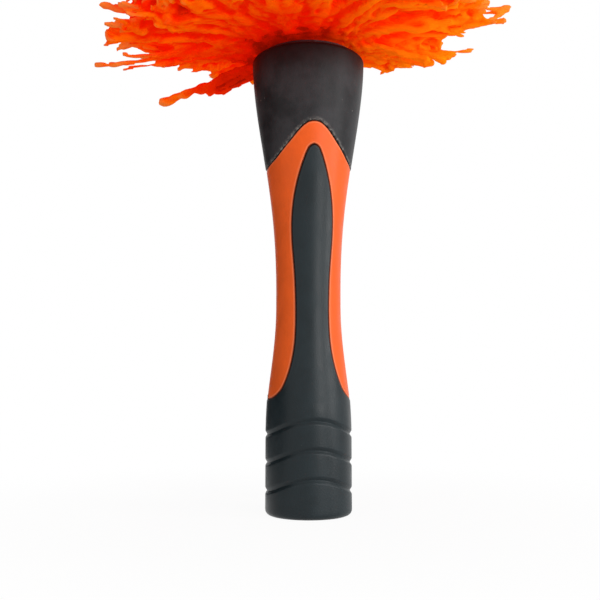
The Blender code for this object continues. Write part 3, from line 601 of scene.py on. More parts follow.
def strand_template():
    """A plain strand one unit long and one unit in radius: a five-sided cone cut into rings."""
    bm = bmesh.new()
    bmesh.ops.create_cone(bm, cap_ends=True, segments=5, radius1=1.0, radius2=0.0, depth=1.0)
    bmesh.ops.translate(bm, verts=bm.verts, vec=(0.0, 0.0, 0.5))
    bmesh.ops.remove_doubles(bm, verts=bm.verts, dist=1e-5)
    for share in STRAND_RINGS:
        bmesh.ops.bisect_plane(
            bm, geom=bm.verts[:] + bm.edges[:] + bm.faces[:], dist=1e-6, plane_co=(0.0, 0.0, share),
            plane_no=(0.0, 0.0, 1.0))
    bmesh.ops.recalc_face_normals(bm, faces=bm.faces)
    mesh = bpy.data.meshes.new("strand_template")
    bm.to_mesh(mesh)
    bm.free()
    return mesh


def row_angle(share, heading):
    """How far the strands of a row point up: level over the collar, steep at the top, all tilted."""
    spread = (HIGHEST_ANGLE - LOWEST_ANGLE) * share ** ANGLE_EASE
    return LOWEST_ANGLE + spread + TILT_ANGLE * (1.0 - share) * np.cos(heading - TILT_HEADING)


def cropped(heading, share):
    """How much shorter the lowest strands are, as a share: most on the right, a little on the left."""
    right = RIGHT_CROP * np.clip(np.cos(heading - QUARTER_TURN), 0.0, 1.0) ** 2
    left = LEFT_CROP * np.clip(np.cos(heading + QUARTER_TURN), 0.0, 1.0)
    return right * np.clip(1.5 - share * 7.0, 0.0, 1.0) + left * np.clip(1.6 - share * 3.0, 0.0, 1.0)


class Strands:
    """A batch of strands of one piece: each has its root, direction, length and width."""

    def __init__(self, root_radius, root_height, heading, angle, length, width):
        self.root_radius, self.root_height = root_radius, root_height
        self.heading, self.angle = heading, angle
        self.length, self.width = length, width
        self.count = len(heading)

    def wave(self, first, share):
        """Two waves added, from three columns that hold their heights, rates and starts."""
        height, rate, start = (self.waves[:, :, first + k, None] for k in range(3))
        waves = (height[:, k] * np.sin(math.tau * (rate[:, k] * share + start[:, k])) for k in range(2))
        return sum(waves) * share ** 0.8

    def path(self, share):
        """Points of each strand at the shares of its length: (strand, share, xyz)."""
        out = self.length[:, None] * share
        flat = np.cos(self.angle)[:, None]
        lift = 4.0 * MM * np.sin(math.pi * share) - self.droop[:, None] * share ** 2
        radius = self.root_radius[:, None] + out * flat
        height = self.root_height[:, None] + out * np.sin(self.angle)[:, None] + lift * np.abs(flat)
        swing, bob = self.wave(0, share), self.wave(3, share)
        sideways = (swing + self.splay[:, None] * share ** 3) * MM
        turn = self.heading[:, None] + self.sweep[:, None] * share
        height = height + (bob * MM + self.rise[:, None] * share ** 4) * flat
        radius = radius - bob * MM * np.sin(self.angle)[:, None]
        return turned_points(radius, turn, sideways, height)


def turned_points(radius, turn, sideways, height):
    """Places at the radius and beside it, turned round the axis from the front."""
    x = radius * np.sin(turn) + sideways * np.cos(turn)
    y = -radius * np.cos(turn) + sideways * np.sin(turn)
    return np.stack([x, y, height], axis=2)


def bend_strands(piece, template, strands, draw):
    """Lays each copy of the template in the piece along the path of its strand."""
    rest = point_values(template.vertices, "co", len(template.vertices)).astype(np.float32)
    share = rest[:, 2]
    around = np.arctan2(rest[:, 1], rest[:, 0])
    at_tip = share > 0.999
    rings = np.unique(np.round(share, 5))
    ring_of = np.searchsorted(rings, np.round(share, 5))
    centre = strands.path(rings[None, :])
    along = np.gradient(centre, axis=1)
    along /= np.linalg.norm(along, axis=2)[:, :, None]
    level = np.cross(along, np.array([0.0, 0.0, 1.0]))
    level /= np.linalg.norm(level, axis=2)[:, :, None] + 1e-9
    above = np.cross(level, along)
    roll = strands.roll[:, None] + strands.twist[:, None] * rings
    wide = level * np.cos(roll)[:, :, None] + above * np.sin(roll)[:, :, None]
    thin = above * np.cos(roll)[:, :, None] - level * np.sin(roll)[:, :, None]
    lumps = 1.0 + 0.26 * np.sin(math.tau * (strands.lumps[:, :1] * rings + strands.lumps[:, 1:2])) \
        + 0.22 * np.sin(math.tau * (strands.lumps[:, 2:3] * rings + strands.lumps[:, 3:4]))
    lumps = 1.0 + (lumps - 1.0) * strands.lumpiness
    fullness, blunt = (np.interp(rings, *np.transpose(outline)) for outline in (TAPERED, BLUNT))
    fullness = fullness + (blunt - fullness) * strands.bluntness
    half_width = strands.width[:, None] / 2.0 * fullness * lumps
    half_width = np.maximum(half_width, LEAST_HALF_WIDTH * fullness)
    half_depth = np.maximum(half_width * strands.flatness[:, None], LEAST_HALF_WIDTH * fullness)
    cos, sin = np.cos(around) * ~at_tip, np.sin(around) * ~at_tip
    torn = 1.0 + draw.uniform(-0.22, 0.22, (strands.count, len(share)))
    points = centre[:, ring_of] \
        + wide[:, ring_of] * (half_width[:, ring_of] * torn * cos)[:, :, None] \
        + thin[:, ring_of] * (half_depth[:, ring_of] * torn * sin)[:, :, None]
    piece.data.vertices.foreach_set("co", points.reshape(-1).astype(np.float32))
    piece.data.update()


class HeadFilling:
    """How densely the head is filled: strands fill small cells, and a point asks what covers it."""

    cell = 2.0 * MM
    corner = np.array([-110.0, -110.0, 165.0]) * MM
    cells = (110, 110, 130)
    middle = np.array([0.0, 0.0, 268.0]) * MM
    steps_mm = (2.0, 4.0, 6.5, 9.5)

    def __init__(self):
        self.filled = np.zeros(self.cells)

    def place(self, points):
        at = (points - self.corner) / self.cell - 0.5
        return np.clip(at, 0.0, np.array(self.cells) - 1.001)

    def add(self, strands):
        share = np.linspace(0.05, 0.98, 60)
        points = strands.path(share[None, :]).reshape(-1, 3)
        weight = np.repeat(strands.width * strands.length, len(share)) / MM ** 2 / 1000.0
        index = tuple(np.round(self.place(points)).astype(int).T)
        np.add.at(self.filled, index, weight)

    def soften(self):
        for _ in range(2):
            for axis in range(3):
                self.filled = 0.5 * self.filled + 0.25 * (
                    np.roll(self.filled, 1, axis) + np.roll(self.filled, -1, axis))

    def cover(self, points):
        """What lies between each point and the open air outside."""
        outward = points - self.middle
        outward /= np.linalg.norm(outward, axis=1)[:, None]
        total = 0.0
        for step in self.steps_mm:
            total = total + between_cells(self.filled, self.place(points + outward * step * MM))
        return total / len(self.steps_mm)


def between_cells(block, at, ease=False):
    """The block's values at places that lie between its cells; past its last cell it starts again."""
    low = np.floor(at).astype(int)
    part = at - low
    if ease:
        part = part * part * (3.0 - 2.0 * part)
    total = 0.0
    for corner in range(8):
        offset = np.array([corner & 1, corner >> 1 & 1, corner >> 2])
        share = np.prod(np.where(offset, part, 1.0 - part), axis=1)
        total = total + share * block[tuple(((low + offset) % block.shape).T)]
    return total


def felt_together(piece, cell):
    """Melts the strands of a piece into each other where they touch, as matted fibre does."""
    melt = piece.modifiers.new("Felting", "REMESH")
    melt.mode = "VOXEL"
    melt.voxel_size = cell
    soften = piece.modifiers.new("Softening", "SMOOTH")
    soften.factor = 0.5
    soften.iterations = 1
    return without_crumbs(applied(piece))


def without_crumbs(piece):
    """Deletes what has come loose from the felt: the islands of only a few points."""
    bm = bmesh.new()
    bm.from_mesh(piece.data)
    bm.verts.index_update()
    seen = bytearray(len(bm.verts))
    crumbs = []
    for first in bm.verts:
        if seen[first.index]:
            continue
        seen[first.index] = 1
        island, at = [first], 0
        while at < len(island):
            for edge in island[at].link_edges:
                near = edge.other_vert(island[at])
                if not seen[near.index]:
                    seen[near.index] = 1
                    island.append(near)
            at += 1
        if len(island) < CRUMB_POINTS:
            crumbs += island
    bmesh.ops.delete(bm, geom=crumbs, context="VERTS")
    bm.to_mesh(piece.data)
    bm.free()
    return piece


def neighbour_mean(values, pairs, near_count):
    """Mean over each point's neighbours of a value that every point has."""
    total = np.empty_like(values)
    for k in range(values.shape[1]):
        column = values[:, k]
        total[:, k] = (np.bincount(pairs[:, 0], column[pairs[:, 1]], len(values))
                       + np.bincount(pairs[:, 1], column[pairs[:, 0]], len(values)))
    return total / near_count[:, None]


def store_values(piece, name, values):
    """Stores one value or one vector for each point of the piece."""
    vector = values.ndim == 2
    store = piece.data.attributes.new(name, "FLOAT_VECTOR" if vector else "FLOAT", "POINT")
    store.data.foreach_set("vector" if vector else "value", values.reshape(-1).astype(np.float32))


def point_values(store, name, count):
    """A vector that each point has, as rows."""
    values = np.empty(count * 3, np.float32)
    store.foreach_get(name, values)
    return values.reshape(-1, 3).astype(float)


def hollowness(points, normals, pairs, near_count):
    """How far each point lies below the evened surface, in mm: more than 0 in a crease, less on a thin lock."""
    evened = points
    for _ in range(6):
        evened = 0.3 * evened + 0.7 * neighbour_mean(evened, pairs, near_count)
    hollow = ((evened - points) * normals).sum(1)[:, None] / MM
    for _ in range(2):
        hollow = 0.5 * hollow + 0.5 * neighbour_mean(hollow, pairs, near_count)
    return hollow[:, 0]


def crease_felt(mesh, points, normals, hollow, follow, draw):
    """Raises fine rounded ridges that run along the strands, but for thin locks; returns the moved points."""
    block = draw.uniform(0.0, 1.0, (40, 40, 40))
    height = 0.0
    for across, along, depth in CREASES:
        value = between_cells(block, follow / (across, across, along), ease=True)
        height = height + depth * MM * (1.7 * np.abs(2.0 * value - 1.0) - 0.55)
    height = height * np.interp(hollow, (-0.75, -0.25), (0.2, 1.0))
    points = points + normals * height[:, None]
    mesh.vertices.foreach_set("co", points.reshape(-1).astype(np.float32))
    mesh.update()
    return points


def strand_space(radius, rise, out, heading):
    """Coordinates that follow the strands: two across them, and the way out from the head's middle in mm."""
    follow = np.column_stack([60.0 * np.cos(heading), 60.0 * np.sin(heading), out / MM])
    follow[:, :2] *= 1.0 + 1.2 * np.arctan2(rise, radius)[:, None]
    return follow


def hem_shade(height, radius, heading):
    """The shade low down at the sides and behind, under the sleeve's hem."""
    low = np.clip((HEM_TOP - height) / (10.0 * MM), 0.0, 1.0)
    behind = np.clip(0.2 - np.cos(heading), 0.0, 1.0)
    return low * behind * np.clip((72.0 * MM - radius) / (26.0 * MM), 0.0, 1.0)


def rim_shade(height, radius):
    """The shade where the strands lie against the collar's rim."""
    beyond = np.clip(radius - MOUTH_RADIUS, 0.0, None)
    above = np.clip(height - HANDLE_TOP - 1.5 * MM, 0.0, None)
    return np.clip(1.0 - np.hypot(beyond, above) / (6.0 * MM), 0.0, 1.0)


def mark_felt(piece, filling, root_height, draw):
    """Creases the felt, and stores what the fibre's finish needs to know of each of its points."""
    mesh = piece.data
    count = len(mesh.vertices)
    points = point_values(mesh.vertices, "co", count)
    radius = np.hypot(points[:, 0], points[:, 1])
    rise = points[:, 2] - root_height
    out = np.hypot(radius, rise)
    heading = np.arctan2(points[:, 0], -points[:, 1])
    # how far round to the lit right side the point lies, where the finish paints light and less shade
    store_values(piece, "felt_fading", 0.5 + 0.5 * np.sin(heading))
    heading = heading + 0.09 * np.sin(out / MM / 10.0 + 5.0 * heading) \
        + 0.05 * np.sin(out / MM / 5.5 - 9.0 * heading)
    follow = strand_space(radius, rise, out, heading)
    pairs = np.empty(len(mesh.edges) * 2, np.int32)
    mesh.edges.foreach_get("vertices", pairs)
    pairs = pairs.reshape(-1, 2)
    near_count = np.maximum(np.bincount(pairs.reshape(-1), minlength=count), 1)
    normals = point_values(mesh.vertex_normals, "vector", count)
    hollow = hollowness(points, normals, pairs, near_count)
    points = crease_felt(mesh, points, normals, hollow, follow, draw)
    normals = point_values(mesh.vertex_normals, "vector", count)
    store_values(piece, "felt_hollow", hollowness(points, normals, pairs, near_count))
    height = points[:, 2]
    # painted shade: the shade under the hem and against the rim is added to the cover, which the finish paints
    # red
    shade = 0.14 * hem_shade(height, radius, heading)
    store_values(piece, "felt_cover", filling.cover(points) + shade + 0.25 * rim_shade(height, radius))
    store_values(piece, "strand_space", follow)
    share = (radius - SLEEVE_RADIUS) / (88.0 * MM) + np.clip(rise, 0.0, None) / (120.0 * MM)
    store_values(piece, "strand_share", share)


class GuidedStrands(Strands):
    """Stray locks, each led over the sleeve's hem and out to the place of its tip."""

    def path(self, share):
        flow = np.clip(share, 0.0, 1.0)
        radius = self.root_radius[:, None] + (self.reach - self.root_radius)[:, None] * flow
        fall = flow ** self.bend[:, None]
        height = self.root_height[:, None] + (self.tip_height - self.root_height)[:, None] * fall
        swing = 1.6 * MM * np.sin(math.tau * (1.3 * flow + self.phase[:, None])) * flow
        height = height + 0.8 * MM * np.sin(math.tau * (2.3 * flow + 2.0 * self.phase[:, None])) * flow
        return turned_points(radius, self.heading[:, None], swing, height)


def stray_locks(draw):
    """The locks that leave the lowest rows and stand out from the head's outline."""
    heading, reach, tip, bend, width, flatness = np.array(STRAY_LOCKS).T
    count = len(heading)
    strands = GuidedStrands(
        np.full(count, SLEEVE_RADIUS), np.full(count, LOWEST_ROW), np.radians(heading), np.zeros(count),
        reach * MM, width * MM)
    fall_of_strands(strands, draw, np.ones(count))
    strands.reach, strands.tip_height, strands.bend = reach * MM, tip * MM, bend
    strands.phase = draw.uniform(0.0, 1.0, count)
    strands.flatness, strands.lumpiness, strands.bluntness = flatness, 0.45, 1.0
    return strands


def add_forks(strands, draw):
    """Gives some strands a thinner twin that leaves them near the end."""
    twins = np.flatnonzero(draw.uniform(0.0, 1.0, strands.count) < FORKED_SHARE)
    count = strands.count
    for name, values in vars(strands).items():
        if isinstance(values, np.ndarray) and len(values) == count:
            setattr(strands, name, np.concatenate([values, values[twins]]))
    strands.count = count + len(twins)
    strands.splay[count:] += draw.choice([-1.0, 1.0], len(twins)) * draw.uniform(3.0, 8.0, len(twins))
    strands.rise[count:] += draw.uniform(-3.0, 5.0, len(twins)) * MM
    strands.length[count:] *= draw.uniform(0.88, 1.04, len(twins))
    strands.width[count:] *= draw.uniform(0.35, 0.75, len(twins))


def strand_piece(name, template, batches, draw, filling, cell):
    """Bends the batches of strands, joins them and felts them together."""
    joined = bmesh.new()
    for strands in batches:
        filling.add(strands)
        bm = bmesh.new()
        for _ in range(strands.count):
            bm.from_mesh(template)
        part = new_piece(name, bm)
        bend_strands(part, template, strands, draw)
        joined.from_mesh(part.data)
        drop(part)
    piece = felt_together(new_piece(name, joined), cell)
    piece.data.shade_smooth()
    return piece


def fall_of_strands(strands, draw, lowest):
    """Draws how each strand waves, twists and thickens; the lowest ones are held up by the sleeve's hem."""
    count = strands.count
    strands.lumpiness, strands.bluntness = 1.0, 0.0
    strands.rise = np.zeros(count)
    droop = draw.uniform(4.0, 9.0, count) * (1.0 - lowest) + draw.uniform(-1.0, 3.0, count) * lowest
    strands.droop = droop * MM
    strands.waves = np.empty((count, 2, 6))
    for k, (height, rate) in enumerate(((4.2, 1.1), (1.6, 2.8))):
        for first, spread in ((0, height), (3, height * 0.8)):
            strands.waves[:, k, first] = draw.normal(0.0, spread, count)
            strands.waves[:, k, first + 1] = rate * draw.uniform(0.6, 1.4, count)
            strands.waves[:, k, first + 2] = draw.uniform(0.0, 1.0, count)
        strands.waves[:, k, 3] *= 1.0 - 0.6 * lowest
    strands.splay = draw.normal(0.0, 5.5, count)
    strands.sweep = np.full(count, math.pi / GUIDES_PER_ROW)
    strands.roll = draw.normal(0.0, 0.55, count)
    strands.twist = draw.normal(0.0, 1.1, count)
    strands.flatness = draw.uniform(0.6, 1.0, count)
    strands.lumps = np.column_stack([
        draw.uniform(low, high, count) for low, high in ((0.8, 2.0), (0.0, 1.0), (2.4, 4.5), (0.0, 1.0))])


def tuft_roots(index, draw):
    """The thick roots of the tufts, matted solid close to the sleeve."""
    rows = np.arange(ROWS_PER_RING) + index * ROWS_PER_RING
    rows = np.repeat(rows, GUIDES_PER_ROW)
    share = rows / (ROW_COUNT - 1.0)
    heading = math.tau * np.arange(len(rows)) / GUIDES_PER_ROW
    count = len(rows)
    roots = Strands(
        np.full(count, SLEEVE_RADIUS), LOWEST_ROW + rows * ROW_STEP, heading, row_angle(share, heading),
        np.full(count, 50.0 * MM), np.full(count, 12.5 * MM))
    fall_of_strands(roots, draw, np.ones(count))
    for bending in (roots.waves, roots.splay, roots.twist):
        bending *= 0.0
    roots.lumpiness = 0.3
    return roots


def pile_over_rim(settings, draw):
    """The short strands over the rim: their heading, angle, length, width and root height."""
    heading = draw.uniform(0.0, math.tau, PILE_COUNT)
    length = draw.uniform(62.0, 87.0, PILE_COUNT) * MM * (1.0 - cropped(heading, 0.0))
    angle = row_angle(0.0, heading) * length / settings.strand_length
    angle = angle + draw.uniform(math.radians(-1.0), math.radians(9.0), PILE_COUNT)
    width = draw.uniform(2.2, 5.0, PILE_COUNT) * MM
    root_height = draw.uniform(193.8, 197.0, PILE_COUNT) * MM
    return heading, angle, length, width, root_height


def make_strand_ring(index, settings, template, filling):
    """The strands of one slice of the sleeve: tufts that leave the sleeve together and part at their ends."""
    draw = np.random.default_rng(settings.seed * 100 + index)
    each = settings.strands_per_guide
    rows = np.repeat(np.arange(ROWS_PER_RING) + index * ROWS_PER_RING, GUIDES_PER_ROW * each)
    guide = np.tile(np.repeat(np.arange(GUIDES_PER_ROW), each), ROWS_PER_RING)
    count = len(rows)
    share = np.clip(rows + draw.uniform(-0.5, 0.5, count), 0.0, ROW_COUNT - 1.0) / (ROW_COUNT - 1.0)
    pitch = math.tau / GUIDES_PER_ROW
    heading = pitch * (guide + 0.5 * (rows % 2)) + draw.normal(0.0, 0.42, count) * pitch
    lowest = np.clip(1.0 - share * 8.0, 0.0, 1.0)
    stray = draw.normal(0.0, math.radians(4.5), count)
    angle = row_angle(share, heading) + stray * (1.0 - lowest) + 0.4 * np.abs(stray) * lowest
    fullness = 0.88 + 0.12 * np.sin(math.pi * share) - cropped(heading, share)
    trim = 1.0 - 0.07 * draw.uniform(0.0, 1.0, count) - 0.25 * draw.uniform(0.0, 1.0, count) ** 3
    length = settings.strand_length * fullness * trim
    kind = draw.uniform(0.0, 1.0, count)
    width = settings.strand_width * np.where(
        kind < 0.16, draw.uniform(0.45, 0.6, count),
        np.where(kind < 0.8, draw.uniform(0.6, 1.0, count), draw.uniform(1.0, 1.3, count)))
    root_height = LOWEST_ROW + share * (ROW_COUNT - 1.0) * ROW_STEP
    if index == 0:
        heading, angle, length, width, root_height = (
            np.append(own, more) for own, more in zip(
                (heading, angle, length, width, root_height), pile_over_rim(settings, draw)))
        lowest = np.append(lowest, np.ones(PILE_COUNT))
    strands = Strands(np.full(len(heading), SLEEVE_RADIUS), root_height, heading, angle, length, width)
    fall_of_strands(strands, draw, lowest)
    add_forks(strands, draw)
    batches = [strands, stray_locks(draw) if index == 0 else tuft_roots(index, draw)]
    cell = FELT_CELL if index == 0 else UPPER_FELT_CELL
    return strand_piece(f"strand_tufts_{index + 1}", template, batches, draw, filling, cell)


def make_crown(settings, template, filling):
    """The upright strands on the sewn disc at the top."""
    draw = np.random.default_rng(settings.seed * 100 + RING_COUNT)
    count = CROWN_GUIDES * settings.strands_per_guide
    outer = draw.uniform(0.0, 1.0, count)
    heading = draw.uniform(0.0, math.tau, count)
    angle = math.radians(90.0) - outer * math.radians(24.0) + draw.normal(0.0, math.radians(4.0), count)
    length = 74.0 * MM * (1.0 - 0.25 * draw.uniform(0.0, 1.0, count) ** 2)
    width = settings.strand_width * draw.uniform(0.4, 1.4, count)
    root_radius = (8.0 + 3.0 * outer) * MM
    root_height = np.full(count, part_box("clamp_washer")[0].z - 3.0 * MM)
    strands = Strands(root_radius, root_height, heading, angle, length, width)
    fall_of_strands(strands, draw, np.zeros(count))
    add_forks(strands, draw)
    return strand_piece("crown_tufts", template, [strands], draw, filling, UPPER_FELT_CELL)


# ---------------------------------------------------------------- finishes

def set_inputs(tree, node, values):
    """Links or sets the node's inputs, given by name or number; a colour may have three values."""
    for name, value in values.items():
        socket = node.inputs[name]
        if isinstance(value, bpy.types.NodeSocket):
            tree.links.new(value, socket)
        elif socket.type == "RGBA":
            socket.default_value = (*value[:3], 1.0)
        else:
            socket.default_value = value


def add_node(tree, kind, values, **options):
    """A new node with its options and inputs set."""
    made = tree.nodes.new(kind)
    for name, value in options.items():
        setattr(made, name, value)
    set_inputs(tree, made, values)
    return made


def math_node(tree, operation, *values, clamp=False):
    return add_node(
        tree, "ShaderNodeMath", dict(enumerate(values)), operation=operation, use_clamp=clamp).outputs[0]


def times(tree, first, second, clamp=False):
    return math_node(tree, "MULTIPLY", first, second, clamp=clamp)


def mix_colours(tree, factor, first, second):
    return add_node(tree, "ShaderNodeMix", {0: factor, 6: first, 7: second}, data_type="RGBA").outputs[2]


def map_range(tree, value, low, high, out_low=0.0, out_high=1.0, ease="SMOOTHSTEP"):
    return add_node(tree, "ShaderNodeMapRange", {
        "Value": value, "From Min": low, "From Max": high, "To Min": out_low, "To Max": out_high,
    }, interpolation_type=ease).outputs["Result"]


def noise(tree, vector, scale, detail, roughness):
    return add_node(tree, "ShaderNodeTexNoise", {
        "Vector": vector, "Scale": scale, "Detail": detail, "Roughness": roughness}).outputs["Fac"]


def object_place(tree):
    return add_node(tree, "ShaderNodeTexCoord", {}).outputs["Object"]


def stored(tree, name, output="Fac"):
    """What the points of the piece have stored under the name."""
    return add_node(tree, "ShaderNodeAttribute", {}, attribute_name=name).outputs[output]


def new_group(name, inputs, outputs):
    """An empty node group: a vector and values with their defaults go in, values come out."""
    tree = bpy.data.node_groups.new(name, "ShaderNodeTree")
    for label, default in inputs.items():
        kind = "NodeSocketVector" if default is None else "NodeSocketFloat"
        socket = tree.interface.new_socket(label, in_out="INPUT", socket_type=kind)
        if default is not None:
            socket.default_value = default
    for label in outputs:
        tree.interface.new_socket(label, in_out="OUTPUT", socket_type="NodeSocketFloat")
    return tree, tree.nodes.new("NodeGroupInput").outputs, tree.nodes.new("NodeGroupOutput")


def use_group(tree, group, values):
    return add_node(tree, "ShaderNodeGroup", values, node_tree=group).outputs


def moulded_grain_group():
    """Fine moulded grain: a height for the bump and a slow mottle."""
    tree, start, end = new_group(
        "Moulded grain", {"Vector": None, "Grain Scale": 2200.0, "Mottle Scale": 90.0}, ("Height", "Mottle"))
    vector, scale, mottle_scale = start[:3]
    fine = noise(tree, vector, scale, 2.0, 0.6)
    pits = add_node(tree, "ShaderNodeTexVoronoi", {"Vector": vector, "Scale": scale}).outputs["Distance"]
    height = math_node(tree, "ADD", fine, times(tree, pits, 0.6))
    set_inputs(tree, end, {"Height": height, "Mottle": noise(tree, vector, mottle_scale, 5.0, 0.62)})
    return tree


def handling_wear_group():
    """Rubbed edges and tiny light specks, as masks."""
    tree, start, end = new_group(
        "Handling wear", {"Vector": None, "Edge": 0.0, "Speck Scale": 420.0, "Speck Amount": 0.5},
        ("Rubbed", "Specks"))
    vector, edge, speck_scale, speck_amount = start[:4]
    broken = map_range(tree, noise(tree, vector, 700.0, 3.0, 0.7), 0.42, 0.66)
    cell = add_node(tree, "ShaderNodeTexVoronoi", {"Vector": vector, "Scale": speck_scale})
    small = map_range(tree, cell.outputs["Distance"], 0.16, 0.05)
    chosen = map_range(tree, noise(tree, vector, 70.0, 2.0, 0.5), 0.60, 0.72)
    specks = times(tree, times(tree, small, chosen), speck_amount, clamp=True)
    set_inputs(tree, end, {"Rubbed": times(tree, edge, broken, clamp=True), "Specks": specks})
    return tree


def fibre_streak_group():
    """Fine streaks that run along a strand, from the strand's own coordinates."""
    tree, start, end = new_group(
        "Fibre streaks", {"Strand Space": None, "Streak Scale": 1.6}, ("Streak", "Height", "Cloud"))
    space, scale = start[:2]
    drawn = add_node(tree, "ShaderNodeMapping", {"Vector": space, "Scale": (1.0, 1.0, 0.18)}).outputs[0]
    streak = noise(tree, drawn, scale, 4.0, 0.65)
    fuzz = noise(tree, space, times(tree, scale, 2.2), 3.0, 0.7)
    cloud = noise(tree, drawn, 0.30, 3.0, 0.6)
    height = math_node(tree, "ADD", times(tree, streak, 0.6), times(tree, fuzz, 0.25))
    height = math_node(tree, "ADD", height, times(tree, cloud, 1.6))
    set_inputs(tree, end, {"Streak": streak, "Height": height, "Cloud": cloud})
    return tree


def new_material(name):
    """The node tree and the shader of a new material."""
    material = bpy.data.materials.new(name)
    material.use_nodes = True
    return material.node_tree, material.node_tree.nodes["Principled BSDF"]


def scaled(colour, *shares):
    """The colour with each of its channels multiplied by a share."""
    return tuple(channel * share for channel, share in zip(colour, shares))


def bump(tree, height, distance, strength=1.0):
    return add_node(
        tree, "ShaderNodeBump", {"Height": height, "Distance": distance, "Strength": strength}).outputs[0]


def moulded_material(finish_name, colour, roughness, gloss, grain_scale, grain_depth, worn, groups,
                     specks, mottle, rubbing=0.0, flecks=0.0, joint_shading=0.0, shaded_top=0.0):
    """A moulded plastic or soft grip: grain, slow mottle, rubbed edges, specks, and painted shade by the joints
    and, where asked, at the top.
    """
    tree, shader = new_material(FINISH_NAMES[finish_name])
    place = object_place(tree)
    grain = use_group(tree, groups["grain"], {"Vector": place, "Grain Scale": grain_scale})
    edge = stored(tree, "edge") if rubbing else 0.0
    wear = use_group(tree, groups["wear"], {"Vector": place, "Edge": edge, "Speck Amount": specks})
    dark = tuple(channel * (1.0 - mottle) for channel in colour)
    light = tuple(min(channel * (1.0 + mottle), 1.0) for channel in colour)
    base = mix_colours(tree, map_range(tree, grain["Mottle"], 0.32, 0.68), dark, light)
    if rubbing:
        base = mix_colours(tree, times(tree, map_range(tree, edge, 0.04, 0.30), rubbing), base, worn)
        # painted shade: the edges by a joint are darkened, as the gap between the parts lies in shade
        joint_shade = times(tree, map_range(tree, edge, 0.45, 0.96), joint_shading)
        base = mix_colours(tree, joint_shade, base, scaled(colour, 0.16, 0.12, 0.10))
    base = mix_colours(tree, times(tree, wear["Rubbed"], flecks), base, worn)
    base = mix_colours(tree, wear["Specks"], base, worn)
    # painted shade from the head above: darker and redder towards the top
    if shaded_top:
        height = add_node(tree, "ShaderNodeSeparateXYZ", {"Vector": place}).outputs["Z"]
        shade = map_range(tree, height, HANDLE_TOP - 14.0 * MM, HANDLE_TOP - 1.0 * MM, 0.0, shaded_top)
        base = mix_colours(tree, shade, base, scaled(colour, 0.35, 0.06, 0.06))
    rough = map_range(tree, grain["Mottle"], 0.3, 0.7, roughness - 0.07, roughness + 0.07)
    set_inputs(tree, shader, {
        "Base Color": base, "Roughness": rough, "Normal": bump(tree, grain["Height"], grain_depth * MM),
        "Specular IOR Level": gloss})


def metal_material(finish_name, colour, roughness, groups):
    """Drawn or plated metal with fine lines round the axis and a few dull patches."""
    tree, shader = new_material(FINISH_NAMES[finish_name])
    place = object_place(tree)
    drawn = add_node(tree, "ShaderNodeMapping", {"Vector": place, "Scale": (1.0, 1.0, 0.06)}).outputs[0]
    lines = noise(tree, drawn, 2600.0, 3.0, 0.6)
    grain = use_group(tree, groups["grain"], {"Vector": place, "Grain Scale": 1500.0, "Mottle Scale": 160.0})
    patches = map_range(tree, grain["Mottle"], 0.35, 0.65)
    set_inputs(tree, shader, {
        "Base Color": mix_colours(tree, patches, scaled(colour, 0.78, 0.78, 0.78), colour),
        "Roughness": map_range(tree, grain["Mottle"], 0.3, 0.7, roughness + 0.12, roughness),
        "Normal": bump(tree, lines, 0.01 * MM, 0.6), "Metallic": 1.0})


def fibre_material(finish_name, finish, groups):
    """Felted microfibre: orange on the strands, paler at their ends, with painted shade in red in the depth,
    painted light on the lit side and a painted glow.
    """
    tree, shader = new_material(FINISH_NAMES[finish_name])
    share, hollow, side, cover = (
        stored(tree, name) for name in ("strand_share", "felt_hollow", "felt_fading", "felt_cover"))
    streaks = use_group(tree, groups["streaks"], {"Strand Space": stored(tree, "strand_space", "Vector")})
    body, shade, pale = tuple(finish.fibre), tuple(finish.fibre_shade), tuple(finish.fibre_tip)
    lighter = (1.0, body[1] * 1.62, body[2] + 0.002)
    # tone that differs at random, redder where the bump sinks and lighter on its raised streaks: partly painted
    # shade and painted highlight
    base = mix_colours(
        tree, map_range(tree, streaks["Cloud"], 0.38, 0.58), scaled(body, 0.95, 0.38, 1.0), body)
    base = mix_colours(tree, map_range(tree, streaks["Streak"], 0.50, 0.70, 0.0, 0.4), base, lighter)
    # painted highlight: lighter orange on the crests of the lit right side
    base = mix_colours(tree, times(tree, side, map_range(tree, hollow, 0.2, -0.4)), base, lighter)
    # painted shade: red in the creases, under other strands and close to the sleeve, less of it on the lit side
    depth = map_range(tree, side, 0.35, 1.0, 1.0, 0.4)
    for dark in (
            map_range(tree, hollow, -0.10, 0.24, 0.0, 0.85),
            map_range(tree, cover, 0.01, 0.08, 0.0, 0.85),
            map_range(tree, share, 0.12, 0.58, 0.9, 0.0)):
        base = mix_colours(tree, times(tree, dark, depth), base, shade)
    # painted shade: darkest red where strands lie deep under others, under the hem and by the rim
    under = times(tree, map_range(tree, cover, 0.07, 0.15, 0.0, 0.8), map_range(tree, hollow, -0.2, 0.2))
    under = math_node(tree, "MAXIMUM", under, map_range(tree, cover, 0.08, 0.24, 0.0, 0.85))
    base = mix_colours(tree, times(tree, under, depth), base, DEEPEST_PAINTED_SHADE)
    tip = times(tree, map_range(tree, share, 0.84, 1.0), map_range(tree, streaks["Cloud"], 0.3, 0.7))
    thin = times(
        tree, map_range(tree, hollow, -0.3, -0.75), map_range(tree, share, 0.55, 0.8, 0.0, 0.75))
    base = mix_colours(tree, math_node(tree, "MAXIMUM", tip, thin), base, pale)
    # the emission is a painted glow in the fibre's own colour, standing in for light scattered through the felt
    set_inputs(tree, shader, {
        "Base Color": base, "Roughness": map_range(tree, streaks["Streak"], 0.3, 0.7, 0.95, 0.78),
        "Normal": bump(tree, streaks["Height"], 0.7 * MM), "Specular IOR Level": 0.0,
        "Emission Color": base, "Emission Strength": 0.37})


